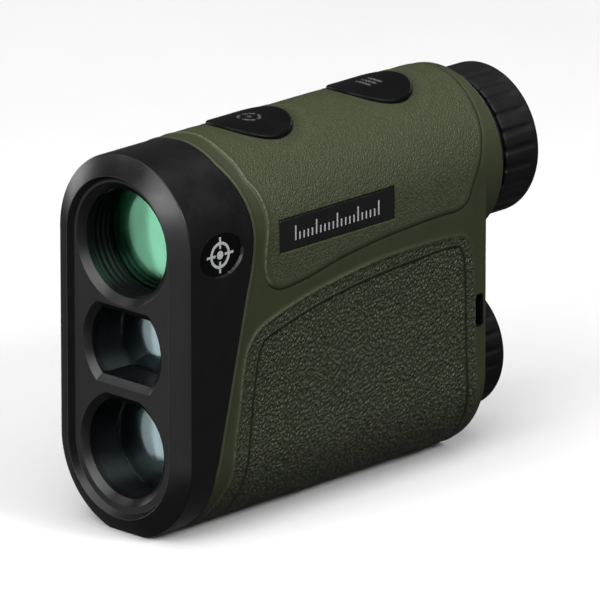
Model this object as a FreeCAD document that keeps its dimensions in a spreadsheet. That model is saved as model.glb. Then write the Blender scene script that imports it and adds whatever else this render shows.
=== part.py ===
import FreeCAD, Part
import os
import re
import Sketcher

# Handheld laser rangefinder: a tube with objective and eyepiece above a flat-sided grip.
# The objective looks along -Y, the eyepiece is at +Y, +Z is up, +X is the user's left side.
# A station is the distance behind the front rim, so each turned part sits on its own axis
# with its body placed at the front rim.

SIZES = {
    # whole object
    "overall_length": 102.0,
    "overall_height": 76.0,
    "body_radius": 17.9,
    "foot_half_width": 5.0,
    "tube_length": 89.2,
    "grip_length": 84.5,
    "armour_wall": 1.6,
    "rear_round": 0.6,
    "chassis_wall": 1.6,
    "fit_gap": 0.05,
    "running_gap": 0.1,
    "loose_gap": 0.3,
    # front bezel
    "bezel_inset": 0.25,
    "bevel_width": 4.0,
    "bevel_depth": 2.3,
    "crest_width": 0.1,
    "inner_bevel_width": 0.8,
    "face_depth": 1.3,
    "face_thickness": 2.5,
    "gasket_thickness": 1.0,
    # seam between bezel and armour, seen from the side
    "seam_low_station": 8.9,
    "seam_low_height": 14.0,
    "seam_mid_station": 17.3,
    "seam_mid_height": 49.0,
    "seam_far_station": 19.1,
    "seam_far_height": 60.0,
    "seam_top_station": 16.6,
    "seam_top_height": 73.0,
    "seam_gap": 0.2,
    # badges and nameplates
    "badge_station": 10.5,
    "badge_height": 57.7,
    "badge_half_long": 5.8,
    "badge_half_tall": 4.3,
    "badge_depth": 0.7,
    "badge_thickness": 0.4,
    "plate_station": 42.2,
    "plate_height": 57.75,
    "plate_half_long": 15.9,
    "plate_half_tall": 3.2,
    "plate_thickness": 0.8,
    "plate_recess": 1.1,
    # objective
    "objective_mouth": 12.2,
    "objective_clear": 10.7,
    "mouth_chamfer_depth": 1.3,
    "barrel_outer": 12.4,
    "barrel_bore": 11.5,
    "barrel_end": 26.0,
    "barrel_throat": 9.4,
    "retainer_inner": 10.6,
    "ridge_depth": 0.45,
    "ridge_pitch": 1.4,
    "ridge_land": 0.5,
    "retainer_relief": 0.22,
    "lens_station": 8.6,
    "lens_radius": 11.45,
    "crown_edge": 3.0,
    "flint_edge": 2.0,
    "lens_sag": 1.3,
    "bench_station": 12.0,
    "bench_thickness": 2.5,
    # laser windows
    "emitter_height": 37.5,
    "emitter_radius": 9.2,
    "emitter_flat": 6.6,
    "emitter_end": 22.0,
    "receiver_radius": 10.0,
    "receiver_flat": 9.1,
    "receiver_end": 34.0,
    "receiver_tail": 6.0,
    "window_chamfer": 1.4,
    "window_chamfer_depth": 1.1,
    "window_wall": 1.1,
    "window_lens_station": 10.0,
    "window_lens_edge": 1.6,
    "window_lens_sag": 1.5,
    "diode_radius": 2.8,
    "diode_length": 5.0,
    "diode_flange": 4.5,
    "filter_thickness": 1.0,
    "sensor_board_half": 6.5,
    # prism block, display and field stop
    "prism_start": 45.5,
    "prism_length": 15.0,
    "prism_half": 6.5,
    "prism_gap": 0.4,
    "holder_start": 44.0,
    "holder_length": 23.5,
    "display_station": 66.0,
    "display_half": 6.0,
    "display_thickness": 1.2,
    "stop_station": 70.0,
    "stop_thickness": 1.0,
    "stop_radius": 5.0,
    # eyepiece
    "collar_start": 79.0,
    "collar_tail": 13.0,
    "collar_radius": 14.6,
    "collar_length": 3.1,
    "collar_bore": 11.2,
    "neck_radius": 12.2,
    "neck_end": 99.2,
    "ring_radius": 13.8,
    "ring_end": 100.2,
    "eyecup_radius": 15.1,
    "eyecup_lip": 10.6,
    "eyecup_round": 0.6,
    "rib_count": 26,
    "rib_groove": 0.35,
    "rib_slot": 0.5,
    "cell_start": 82.0,
    "cell_length": 15.0,
    "cell_bore": 9.6,
    "ocular_lens_edge": 2.0,
    "ocular_lens_sag": 0.9,
    "ocular_spacing": 7.4,
    "ocular_step": 2.0,
    "retainer_height": 1.2,
    # battery and its cap
    "battery_height": 17.5,
    "battery_radius": 7.75,
    "battery_length": 27.0,
    "battery_end": 79.8,
    "nub_radius": 3.2,
    "nub_length": 1.0,
    "battery_tube_wall": 1.1,
    "thread_bore": 10.0,
    "thread_wall": 1.2,
    "thread_start": 77.6,
    "cap_radius": 13.0,
    "cap_end": 95.25,
    "cap_sleeve_start": 79.0,
    "cap_sleeve_bore": 8.5,
    "cap_skirt_bore": 11.6,
    "cap_skirt_floor": 84.2,
    "cap_well_floor": 84.9,
    "cap_chamfer": 0.9,
    "cap_seal_wire": 0.5,
    "contact_radius": 6.4,
    "contact_thickness": 0.4,
    "spring_radius": 5.0,
    "spring_wire": 0.35,
    "spring_pitch": 1.3,
    "spring_height": 3.6,
    # buttons and their switches
    "front_button_station": 36.0,
    "rear_button_station": 69.4,
    "button_radius": 8.3,
    "button_proud": 0.3,
    "button_floor": 71.5,
    "button_round": 0.45,
    "button_well_radius": 3.2,
    "button_well_roof": 72.35,
    "mat_half_width": 7.2,
    "mat_floor": 69.5,
    "mat_thickness": 0.7,
    "mat_dome_radius": 2.5,
    "mat_dome_height": 1.2,
    "mat_overhang": 9.2,
    "switch_radius": 2.6,
    "switch_thickness": 0.7,
    "board_thickness": 0.8,
    # main board
    "main_board_start": 43.0,
    "main_board_length": 29.0,
    "main_board_floor": 31.0,
    "main_board_height": 12.5,
    "main_board_side": 7.5,
    "chip_thickness": 1.1,
    "chip_size": 7.0,
    "chip_margin": 2.0,
    "flex_station": 42.2,
    "flex_thickness": 0.3,
    "flex_width": 6.0,
    # fasteners
    "boss_radius": 3.0,
    "screw_radius": 1.0,
    "screw_head": 1.9,
    "screw_head_height": 1.3,
    "screw_seat": 7.0,
    "screw_length": 13.0,
    "post_radius": 1.6,
    "bezel_screw_radius": 0.8,
    "bezel_screw_head": 1.5,
    "bezel_screw_length": 8.0,
    # lanyard slot in the rear corner of the grip
    "slot_start": 81.1,
    "slot_width": 2.4,
    "slot_height": 30.45,
    "slot_half_tall": 3.4,
    "slot_depth": 6.4,
    "slot_rear_width": 3.1,
    "slot_wall": 2.0,
}

RIDGE_COUNT = 3
CHIP_COUNT = 3
BUTTON_STATIONS = {"front_button": "front_button_station", "rear_button": "rear_button_station"}
BOSSES = ((45.5, 16.5), (36.0, 31.0), (38.0, 45.5), (76.0, 37.0))
BEZEL_SCREWS = ((-11.5, 44.5), (11.5, 44.5), (-11.8, 29.5), (11.8, 29.5))
BOARD_POSTS = ((48.0, 37.0), (67.0, 37.0))

AXIS_UP = "overall_height - body_radius"
AXIS_LOW = "sqrt(body_radius * body_radius - foot_half_width * foot_half_width)"
CHASSIS_RADIUS = "body_radius - armour_wall - fit_gap"
CAVITY_RADIUS = CHASSIS_RADIUS + " - chassis_wall"
BEZEL_RADIUS = "body_radius - bezel_inset"
FACE_BACK = "face_depth + face_thickness"
CHASSIS_FRONT = FACE_BACK + " + gasket_thickness"
CHASSIS_GRIP_END = "grip_length - armour_wall"
CHASSIS_TUBE_END = "tube_length - armour_wall"
BUTTON_BOARD_FLOOR = "mat_floor - 2 * fit_gap - switch_thickness - board_thickness"
HOLDER_TOP = "%s - fit_gap - (%s)" % (BUTTON_BOARD_FLOOR, AXIS_UP)

doc = FreeCAD.newDocument("rangefinder")
sheet = doc.addObject("Spreadsheet::Sheet", "Sheet")
for row, (alias, value) in enumerate(SIZES.items(), start=1):
    sheet.set("A%d" % row, alias)
    sheet.set("B%d" % row, str(value))
    sheet.setAlias("B%d" % row, alias)
doc.recompute()

SUBPARTS = []


def link(text):
    """Turn plain size names into references to the sheet."""
    return re.sub(r"[a-z_]+", lambda m: "Sheet." + m.group() if m.group() in SIZES else m.group(), text)


def number(text):
    """The present value of an expression in size names."""
    value = sheet.evalExpression(link(text))
    return float(getattr(value, "Value", value))


def bind(item, **properties):
    """Bind properties to expressions; double underscores stand for dots."""
    for name, text in properties.items():
        item.setExpression(name.replace("__", "."), link(text))


def keep(item, name, height="0"):
    """Label a finished sub-part and place it at the front rim, on its own axis height."""
    item.Label = name
    bind(item, Placement__Base__y="-overall_length / 2", Placement__Base__z=height)
    SUBPARTS.append(item)
    return item


# ---------------------------------------------------------------- sketches

def new_body(name):
    return doc.addObject("PartDesign::Body", name)


def new_sketch(body, role, name, offset="0"):
    """A sketch on one of the body's own planes, shifted along the plane's normal."""
    plane = [f for f in body.Origin.OriginFeatures if f.Role == role][0]
    sketch = body.newObject("Sketcher::SketchObject", name)
    sketch.AttachmentSupport = [(plane, "")]
    sketch.MapMode = "FlatFace"
    if offset != "0":
        bind(sketch, AttachmentOffset__Base__z=offset)
    return sketch


def station_sketch(body, name, station):
    """A sketch across the axis; the XZ plane faces forward, so stations count backwards."""
    return new_sketch(body, "XZ_Plane", name, "-(%s)" % station)


def pin_point(sketch, shape, end, x_text, y_text):
    """Fix one point of the sketch by expressions; None leaves a direction free."""
    for axis, text, line in (("DistanceX", x_text, -2), ("DistanceY", y_text, -1)):
        if text is None:
            continue
        if text == "0":
            sketch.addConstraint(Sketcher.Constraint("PointOnObject", shape, end, line))
            continue
        value = number(text)
        index = sketch.addConstraint(Sketcher.Constraint(axis, -1, 1, shape, end, value))
        sketch.setExpression("Constraints[%d]" % index, link(text))


def join(sketch, first, first_end, second, second_end):
    sketch.addConstraint(Sketcher.Constraint("Coincident", first, first_end, second, second_end))


def segment(sketch, start, end, construction=False):
    """A straight line between two points given as pairs of expressions."""
    points = [FreeCAD.Vector(number(x), number(y), 0) for x, y in (start, end)]
    return sketch.addGeometry(Part.LineSegment(*points), construction)


def polygon(sketch, corners):
    """A closed outline through corners given as pairs of expressions."""
    points = [FreeCAD.Vector(number(x), number(y), 0) for x, y in corners]
    lines = []
    for start, end in zip(points, points[1:] + points[:1]):
        lines.append(sketch.addGeometry(Part.LineSegment(start, end), False))
    for line, follower in zip(lines, lines[1:] + lines[:1]):
        join(sketch, line, 2, follower, 1)
    for line, (x, y) in zip(lines, corners):
        pin_point(sketch, line, 1, x, y)


def rectangle(sketch, left, right, low, high):
    polygon(sketch, ((left, low), (right, low), (right, high), (left, high)))


def circle(sketch, x, y, radius):
    centre = FreeCAD.Vector(number(x), number(y), 0)
    ring = sketch.addGeometry(Part.Circle(centre, FreeCAD.Vector(0, 0, 1), number(radius)), False)
    pin_point(sketch, ring, 3, x, y)
    index = sketch.addConstraint(Sketcher.Constraint("Radius", ring, number(radius)))
    sketch.setExpression("Constraints[%d]" % index, link(radius))


def arc_between(sketch, start, middle, end):
    points = [FreeCAD.Vector(number(x), number(y), 0) for x, y in (start, middle, end)]
    return sketch.addGeometry(Part.Arc(*points), False)


def stadium(sketch, radius):
    """Two half circles on the tube axis and the grip axis, joined by straight sides."""
    side = (radius, "-(%s)" % radius)
    low, high = AXIS_LOW, AXIS_UP
    top = arc_between(sketch, (side[0], high), ("0", "%s + %s" % (high, radius)), (side[1], high))
    left = segment(sketch, (side[1], high), (side[1], low))
    bottom = arc_between(sketch, (side[1], low), ("0", "%s - (%s)" % (low, radius)), (side[0], low))
    right = segment(sketch, (side[0], low), (side[0], high))
    join(sketch, top, 2, left, 1)
    join(sketch, left, 2, bottom, 1)
    join(sketch, bottom, 2, right, 1)
    join(sketch, right, 2, top, 1)
    pin_point(sketch, top, 3, "0", high)
    pin_point(sketch, bottom, 3, "0", low)
    pin_point(sketch, left, 1, side[1], high)
    pin_point(sketch, right, 1, side[0], low)
    pin_point(sketch, left, 2, None, low)
    pin_point(sketch, right, 2, None, high)


def cut_circle(sketch, radius, top, bottom=None):
    """A circle on the body's own axis with a flat on top and, if given, one below."""
    reach_top = "sqrt((%s) * (%s) - (%s) * (%s))" % (radius, radius, top, top)
    flat = (("-" + reach_top, top), (reach_top, top))
    ends = [tuple(FreeCAD.Vector(number(x), number(y), 0) for x, y in flat)]
    lid = sketch.addGeometry(Part.LineSegment(*ends[0]), False)
    pin_point(sketch, lid, 1, *flat[0])
    pin_point(sketch, lid, 2, *flat[1])
    if bottom is None:
        bow = arc_between(sketch, flat[1], ("0", "-(%s)" % radius), flat[0])
        join(sketch, bow, 1, lid, 1)
        join(sketch, bow, 2, lid, 2)
        pin_point(sketch, bow, 3, None, "0")
        return
    low = "-(%s)" % bottom
    base = segment(sketch, ("-" + reach_top, low), (reach_top, low))
    pin_point(sketch, base, 1, "-" + reach_top, low)
    pin_point(sketch, base, 2, reach_top, low)
    right = arc_between(sketch, (reach_top, low), (radius, "0"), (reach_top, top))
    left = arc_between(sketch, ("-" + reach_top, top), ("-(%s)" % radius, "0"), ("-" + reach_top, low))
    join(sketch, right, 1, base, 2)
    join(sketch, right, 2, lid, 2)
    join(sketch, left, 1, lid, 1)
    join(sketch, left, 2, base, 1)
    pin_point(sketch, right, 3, "0", None)
    pin_point(sketch, left, 3, "0", None)


def oval(sketch, station, height, half_long, half_tall):
    """An ellipse on the side of the bezel, its long axis along the object."""
    centre = FreeCAD.Vector(number(station), number(height), 0)
    along = FreeCAD.Vector(number(half_long), 0, 0)
    across = FreeCAD.Vector(0, number(half_tall), 0)
    ring = sketch.addGeometry(Part.Ellipse(centre + along, centre + across, centre), False)
    sketch.exposeInternalGeometry(ring)
    major, minor = ring + 1, ring + 2
    pin_point(sketch, ring, 3, station, height)
    sketch.addConstraint(Sketcher.Constraint("Horizontal", major))
    for axis, text in ((major, half_long), (minor, half_tall)):
        index = sketch.addConstraint(Sketcher.Constraint("Distance", axis, 2 * number(text)))
        sketch.setExpression("Constraints[%d]" % index, link("2 * (%s)" % text))


def seam_outline(sketch, offset, reach):
    """Everything on one side of the seam, seen from the side: behind it or before it."""
    def station(name):
        return "%s + %s" % (name, offset)
    corners = ((station("seam_top_station"), "overall_height + loose_gap"),
               (reach, "overall_height + loose_gap"),
               (reach, "-loose_gap"),
               (station("seam_low_station"), "-loose_gap"),
               (station("seam_low_station"), "seam_low_height"),
               (station("seam_mid_station"), "seam_mid_height"))
    points = [FreeCAD.Vector(number(x), number(y), 0) for x, y in corners]
    lines = [sketch.addGeometry(Part.LineSegment(a, b), False) for a, b in zip(points, points[1:])]
    for line, follower in zip(lines, lines[1:]):
        join(sketch, line, 2, follower, 1)
    for line, (x, y) in zip(lines, corners):
        pin_point(sketch, line, 1, x, y)
    pin_point(sketch, lines[-1], 2, *corners[-1])
    top = (station("seam_top_station"), "seam_top_height")
    bulge = arc_between(sketch, corners[-1], (station("seam_far_station"), "seam_far_height"), top)
    rise = sketch.addGeometry(Part.LineSegment(
        FreeCAD.Vector(number(top[0]), number(top[1]), 0), points[0]), False)
    upper_end = 2 if sketch.getPoint(bulge, 2).y > sketch.getPoint(bulge, 1).y else 1
    join(sketch, bulge, upper_end, rise, 1)
    join(sketch, bulge, 3 - upper_end, lines[-1], 2)
    join(sketch, rise, 2, lines[0], 1)
    pin_point(sketch, rise, 1, *top)
    peak = sketch.addGeometry(Part.Point(FreeCAD.Vector(
        number(station("seam_far_station")), number("seam_far_height"), 0)), True)
    pin_point(sketch, peak, 1, station("seam_far_station"), "seam_far_height")
    sketch.addConstraint(Sketcher.Constraint("PointOnObject", peak, 1, bulge))


# ---------------------------------------------------------------- features

def pad(body, sketch, length, both_ways=False):
    """Extrude backwards from a cross sketch, or along the normal of any other."""
    feature = body.newObject("PartDesign::Pad", sketch.Label + "_pad")
    feature.Profile = sketch
    feature.Reversed = sketch.AttachmentSupport[0][0].Role == "XZ_Plane"
    feature.Midplane = both_ways
    bind(feature, Length=length)
    return feature


def pocket(body, sketch, length, both_ways=False):
    """Cut backwards from a cross sketch, or along the normal of any other."""
    feature = body.newObject("PartDesign::Pocket", sketch.Label + "_cut")
    feature.Profile = sketch
    feature.Reversed = sketch.AttachmentSupport[0][0].Role != "XZ_Plane"
    feature.Midplane = both_ways
    bind(feature, Length=length)
    return feature


def loft(body, kind, name, front, back):
    feature = body.newObject("PartDesign::" + kind, name)
    feature.Profile = front
    feature.Sections = [back]
    feature.Ruled = True
    return feature


def revolve(body, kind, sketch, axis="H_Axis"):
    feature = body.newObject("PartDesign::" + kind, sketch.Label + "_turn")
    feature.Profile = sketch
    feature.ReferenceAxis = (sketch, [axis])
    feature.Angle = 360
    return feature


def edge_names(feature, test):
    """Names of the edges for which test(edge) is true."""
    doc.recompute()
    return ["Edge%d" % place for place, edge in enumerate(feature.Shape.Edges, start=1) if test(edge)]


def dress(body, kind, feature, size, test):
    """Fillet or chamfer the chosen edges of the body's last feature."""
    dressing = body.newObject("PartDesign::" + kind, feature.Label + "_" + kind.lower())
    dressing.Base = (feature, edge_names(feature, test))
    bind(dressing, **{"Radius" if kind == "Fillet" else "Size": size})
    return dressing


def turned(name, height, outline):
    """A turned part on its own axis; the outline is (station, radius) pairs."""
    body = new_body(name)
    sketch = new_sketch(body, "YZ_Plane", name + "_outline")
    polygon(sketch, outline)
    revolve(body, "Revolution", sketch)
    return keep(body, name, height)


def ring_outline(start, end, inner, outer):
    return ((start, inner), (start, outer), (end, outer), (end, inner))


def lens(name, height, front, edge, radius, front_sag, back_sag):
    """A lens from its front rim station, edge thickness and the sag of each face."""
    body = new_body(name)
    sketch = new_sketch(body, "YZ_Plane", name + "_outline")
    back = "%s + %s" % (front, edge)
    apex_front = "%s - (%s)" % (front, front_sag)
    apex_back = "%s + (%s)" % (back, back_sag)
    rim = segment(sketch, (front, radius), (back, radius))
    axis = segment(sketch, (apex_back, "0"), (apex_front, "0"))
    pin_point(sketch, rim, 1, front, radius)
    pin_point(sketch, rim, 2, back, radius)
    pin_point(sketch, axis, 1, apex_back, "0")
    pin_point(sketch, axis, 2, apex_front, "0")
    lens_face(sketch, (apex_front, front), radius, axis, 2, rim, 1)
    lens_face(sketch, (apex_back, back), radius, axis, 1, rim, 2)
    revolve(body, "Revolution", sketch)
    return keep(body, name, height)


def lens_face(sketch, stations, radius, axis, axis_end, rim, rim_end):
    """Spherical face from the apex on the axis to the rim, or a flat one if they are level."""
    apex, edge = (number(text) for text in stations)
    reach = number(radius)
    if abs(apex - edge) < 1e-6:
        flat = sketch.addGeometry(Part.LineSegment(
            FreeCAD.Vector(apex, 0, 0), FreeCAD.Vector(edge, reach, 0)), False)
        join(sketch, flat, 1, axis, axis_end)
        join(sketch, flat, 2, rim, rim_end)
        return
    sag = abs(edge - apex)
    curve = (reach * reach + sag * sag) / (2 * sag)
    toward = 1 if edge > apex else -1
    centre = apex + toward * curve
    half = reach / 2
    middle = FreeCAD.Vector(centre - toward * (curve * curve - half * half) ** 0.5, half, 0)
    bow = sketch.addGeometry(Part.Arc(
        FreeCAD.Vector(apex, 0, 0), middle, FreeCAD.Vector(edge, reach, 0)), False)
    apex_end = 1 if sketch.getPoint(bow, 1).y < sketch.getPoint(bow, 2).y else 2
    join(sketch, bow, apex_end, axis, axis_end)
    join(sketch, bow, 3 - apex_end, rim, rim_end)
    sketch.addConstraint(Sketcher.Constraint("PointOnObject", bow, 3, -1))


def box(name, start, length, left, width, floor, height, axis="0"):
    """A rectangular block as a padded rectangle."""
    body = new_body(name)
    sketch = station_sketch(body, name + "_section", start)
    rectangle(sketch, left, "%s + %s" % (left, width), floor, "%s + %s" % (floor, height))
    pad(body, sketch, length)
    return keep(body, name, axis)


# ---------------------------------------------------------------- outer shell

def foot_cut(body, level):
    """The flat underside that the object stands on."""
    sketch = new_sketch(body, "YZ_Plane", body.Name + "_foot")
    rectangle(sketch, "-loose_gap", "overall_length", "-foot_half_width", level)
    return pocket(body, sketch, "2 * body_radius", both_ways=True)


def make_bezel():
    body = new_body("front_bezel")
    crest = station_sketch(body, "crest", "0")
    stadium(crest, BEZEL_RADIUS + " - bevel_width")
    shoulder = station_sketch(body, "shoulder", "bevel_depth")
    stadium(shoulder, BEZEL_RADIUS)
    loft(body, "AdditiveLoft", "outer_bevel", crest, shoulder)
    cheeks = station_sketch(body, "cheeks", "bevel_depth")
    stadium(cheeks, BEZEL_RADIUS)
    pad(body, cheeks, "seam_far_station - bevel_depth + loose_gap")
    hollow = station_sketch(body, "hollow", FACE_BACK)
    stadium(hollow, CHASSIS_RADIUS + " + running_gap")
    pocket(body, hollow, "overall_length")
    behind = new_sketch(body, "YZ_Plane", "behind_seam")
    seam_outline(behind, "0", "overall_length")
    pocket(body, behind, "3 * body_radius", both_ways=True)
    lip = station_sketch(body, "rim_lip", "0")
    stadium(lip, BEZEL_RADIUS + " - bevel_width - crest_width")
    face = station_sketch(body, "recessed_face", "face_depth")
    stadium(face, BEZEL_RADIUS + " - bevel_width - inner_bevel_width")
    loft(body, "SubtractiveLoft", "inner_bevel", lip, face)
    bezel_openings(body)
    bezel_posts(body)
    bezel_badge_seats(body)
    foot_cut(body, "bezel_inset")
    return keep(body, "front_bezel")


def bezel_openings(body):
    """The objective mouth and the two laser windows, each with a chamfered edge."""
    mouth = new_sketch(body, "YZ_Plane", "objective_mouth_cut")
    centre = AXIS_UP
    rise = [("face_depth - loose_gap", "0"),
            ("face_depth - loose_gap", "objective_mouth"),
            ("face_depth", "objective_mouth"),
            ("face_depth + mouth_chamfer_depth", "objective_clear"),
            (FACE_BACK + " + loose_gap", "objective_clear"),
            (FACE_BACK + " + loose_gap", "0")]
    polygon(mouth, [(x, "%s + %s" % (centre, y)) for x, y in rise])
    spindle = segment(mouth, ("0", centre), ("overall_length", centre), True)
    pin_point(mouth, spindle, 1, "0", centre)
    pin_point(mouth, spindle, 2, "overall_length", centre)
    revolve(body, "Groove", mouth, "Axis0")
    window_cut(body, "emitter", "emitter_height", "emitter_radius", "emitter_flat", "emitter_flat")
    window_cut(body, "receiver", AXIS_LOW, "receiver_radius", "receiver_flat", None)


def bezel_posts(body):
    """Posts behind the bezel face that take its screws."""
    for count, (across, height) in enumerate(BEZEL_SCREWS):
        for radius, role in (("post_radius", "post"), ("bezel_screw_radius + fit_gap", "post_hole")):
            sketch = station_sketch(body, "%s_%d" % (role, count), FACE_BACK)
            circle(sketch, str(across), str(height), radius)
            shape = pad if role == "post" else pocket
            shape(body, sketch, "bench_station - (%s)" % FACE_BACK)


def window_cut(body, name, height, radius, top, bottom):
    """A laser window: the chamfer as a loft, then the straight opening."""
    for suffix, station, grow in (("_outer", "face_depth", " + window_chamfer"),
                                  ("_inner", "face_depth + window_chamfer_depth", ""),
                                  ("_through", "face_depth + window_chamfer_depth", "")):
        sketch = station_sketch(body, name + suffix, station)
        bind(sketch, AttachmentOffset__Base__y=height)
        cut_circle(sketch, radius + grow, top + grow, bottom + grow if bottom else None)
        if suffix == "_outer":
            outer = sketch
        elif suffix == "_inner":
            loft(body, "SubtractiveLoft", name + "_chamfer", outer, sketch)
        else:
            pocket(body, sketch, "face_thickness")


def bezel_badge_seats(body):
    for side, offset in (("left", BEZEL_RADIUS + " - badge_depth"), ("right", "-(%s)" % BEZEL_RADIUS)):
        sketch = new_sketch(body, "YZ_Plane", side + "_badge_seat", offset)
        oval(sketch, "badge_station", "badge_height", "badge_half_long + running_gap",
             "badge_half_tall + running_gap")
        pocket(body, sketch, "badge_depth")


def make_badge(name, offset):
    body = new_body(name)
    sketch = new_sketch(body, "YZ_Plane", name + "_face", offset)
    oval(sketch, "badge_station", "badge_height", "badge_half_long", "badge_half_tall")
    pad(body, sketch, "badge_thickness")
    return keep(body, name)


def make_armour():
    """Rubber sleeve over the chassis, closed at both rear faces around cap and eyepiece."""
    body = new_body("armour")
    grip = station_sketch(body, "grip_section", "seam_low_station")
    stadium(grip, "body_radius")
    pad(body, grip, "grip_length - seam_low_station")
    tube = station_sketch(body, "tube_section", "seam_far_station")
    circle(tube, "0", AXIS_UP, "body_radius")
    pad(body, tube, "tube_length - seam_far_station")
    core = station_sketch(body, "grip_core", "0")
    stadium(core, "body_radius - armour_wall")
    pocket(body, core, CHASSIS_GRIP_END)
    bore = station_sketch(body, "tube_core", "0")
    circle(bore, "0", AXIS_UP, "body_radius - armour_wall")
    pocket(body, bore, CHASSIS_TUBE_END)
    before = new_sketch(body, "YZ_Plane", "before_seam")
    seam_outline(before, "seam_gap", "-loose_gap")
    pocket(body, before, "3 * body_radius", both_ways=True)
    eyepiece = station_sketch(body, "eyepiece_hole", CHASSIS_TUBE_END + " - loose_gap")
    circle(eyepiece, "0", AXIS_UP, "collar_tail + running_gap")
    pocket(body, eyepiece, "overall_length")
    cap = station_sketch(body, "cap_hole", CHASSIS_GRIP_END + " - loose_gap")
    circle(cap, "0", "battery_height", "cap_radius + loose_gap")
    pocket(body, cap, "armour_wall + 2 * loose_gap")
    for side in ("left", "right"):
        plate_seat(body, side)
    button_holes(body, "armour")
    foot_cut(body, "0")
    cut_slot(body)
    dress(body, "Fillet", body.Tip, "rear_round", rear_rim)
    return keep(body, "armour")


def rear_rim(edge):
    """True for the outer edges of the two rear faces."""
    outline = edge.BoundBox
    at_rear = abs(outline.YMin - outline.YMax) < 1e-4 and any(
        abs(outline.YMax - number(end)) < 1e-4 for end in ("grip_length", "tube_length"))
    return at_rear and max(outline.XMax, -outline.XMin) > number("body_radius") - 1e-4


def plate_seat(body, side):
    offset = "body_radius - plate_recess" if side == "left" else "-body_radius - loose_gap"
    sketch = new_sketch(body, "YZ_Plane", side + "_plate_seat", offset)
    rectangle(sketch, "plate_station - plate_half_long - running_gap",
              "plate_station + plate_half_long + running_gap",
              "plate_height - plate_half_tall - running_gap",
              "plate_height + plate_half_tall + running_gap")
    return pocket(body, sketch, "plate_recess + loose_gap")


def make_nameplate(name, offset):
    body = new_body(name)
    sketch = new_sketch(body, "YZ_Plane", name + "_face", offset)
    rectangle(sketch, "plate_station - plate_half_long", "plate_station + plate_half_long",
              "plate_height - plate_half_tall", "plate_height + plate_half_tall")
    pad(body, sketch, "plate_thickness")
    return keep(body, name)


def button_holes(body, prefix):
    for name, station in BUTTON_STATIONS.items():
        sketch = new_sketch(body, "XY_Plane", prefix + "_" + name + "_hole", AXIS_UP)
        circle(sketch, "0", station, "button_radius + loose_gap")
        pocket(body, sketch, "body_radius + loose_gap")


def cut_slot(body):
    """The lanyard slot: in at the side, round the corner bar and out at the rear."""
    side = new_sketch(body, "YZ_Plane", body.Name + "_slot_side", "body_radius - slot_depth")
    rectangle(side, "slot_start", "slot_start + slot_width",
              "slot_height - slot_half_tall", "slot_height + slot_half_tall")
    pocket(body, side, "slot_depth + loose_gap")
    rear = station_sketch(body, body.Name + "_slot_rear", "slot_start")
    rectangle(rear, "body_radius - slot_depth", "body_radius - slot_depth + slot_rear_width",
              "slot_height - slot_half_tall", "slot_height + slot_half_tall")
    return pocket(body, rear, "overall_length")


# ---------------------------------------------------------------- chassis

def make_housing(name, side):
    """One moulded half of the inner chassis; side is +1 for the half at +X."""
    body = new_body(name)
    grip = station_sketch(body, name + "_grip", CHASSIS_FRONT)
    stadium(grip, CHASSIS_RADIUS)
    pad(body, grip, "%s - (%s)" % (CHASSIS_GRIP_END, CHASSIS_FRONT))
    tube = station_sketch(body, name + "_tube", "seam_far_station")
    circle(tube, "0", AXIS_UP, CHASSIS_RADIUS)
    pad(body, tube, CHASSIS_TUBE_END + " - seam_far_station")
    cavity = station_sketch(body, name + "_cavity", "0")
    stadium(cavity, CAVITY_RADIUS)
    pocket(body, cavity, CHASSIS_GRIP_END + " - chassis_wall")
    tunnel = station_sketch(body, name + "_tunnel", "0")
    circle(tunnel, "0", AXIS_UP, CAVITY_RADIUS)
    pocket(body, tunnel, CHASSIS_TUBE_END + " - chassis_wall")
    add_bosses(body, name, side)
    if side < 0:
        add_board_posts(body, name)
    else:
        corner = station_sketch(body, name + "_slot_block", "slot_start - slot_wall")
        rectangle(corner, "body_radius - slot_depth - slot_wall", CAVITY_RADIUS + " + fit_gap",
                  "slot_height - slot_half_tall - slot_wall", "slot_height + slot_half_tall + slot_wall")
        pad(body, corner, "%s - slot_start + slot_wall" % CHASSIS_GRIP_END)
        cut_slot(body)
    rear_bores(body, name)
    button_holes(body, name)
    half = station_sketch(body, name + "_parting", "0")
    near, far = "0", "2 * body_radius"
    limits = ("-(%s)" % far, near) if side > 0 else (near, far)
    rectangle(half, limits[0], limits[1], "-body_radius", "2 * overall_height")
    pocket(body, half, "overall_length")
    return keep(body, name)


def add_bosses(body, name, side):
    """Bosses for the screws that pull the two halves together."""
    for count, (station, height) in enumerate(BOSSES):
        for radius, role in (("boss_radius", "boss"), ("screw_radius + fit_gap", "hole")):
            sketch = new_sketch(body, "YZ_Plane", "%s_%s_%d" % (name, role, count))
            circle(sketch, str(station), str(height), radius)
            if role == "boss":
                post = pad(body, sketch, CAVITY_RADIUS + " + chassis_wall / 4")
                post.Reversed = side < 0
            else:
                hole = pocket(body, sketch, "screw_length")
                hole.Reversed = side > 0
        if side > 0:
            seat = new_sketch(body, "YZ_Plane", "%s_seat_%d" % (name, count), "screw_seat")
            circle(seat, str(station), str(height), "screw_head + running_gap")
            pocket(body, seat, "body_radius")


def add_board_posts(body, name):
    """Posts that carry the main board, on the half at -X."""
    for count, (station, height) in enumerate(BOARD_POSTS):
        foot = "-main_board_side - board_thickness - fit_gap"
        sketch = new_sketch(body, "YZ_Plane", "%s_board_post_%d" % (name, count), foot)
        circle(sketch, str(station), str(height), "boss_radius")
        post = pad(body, sketch, "%s + chassis_wall / 4 + (%s)" % (CAVITY_RADIUS, foot))
        post.Reversed = True


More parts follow.
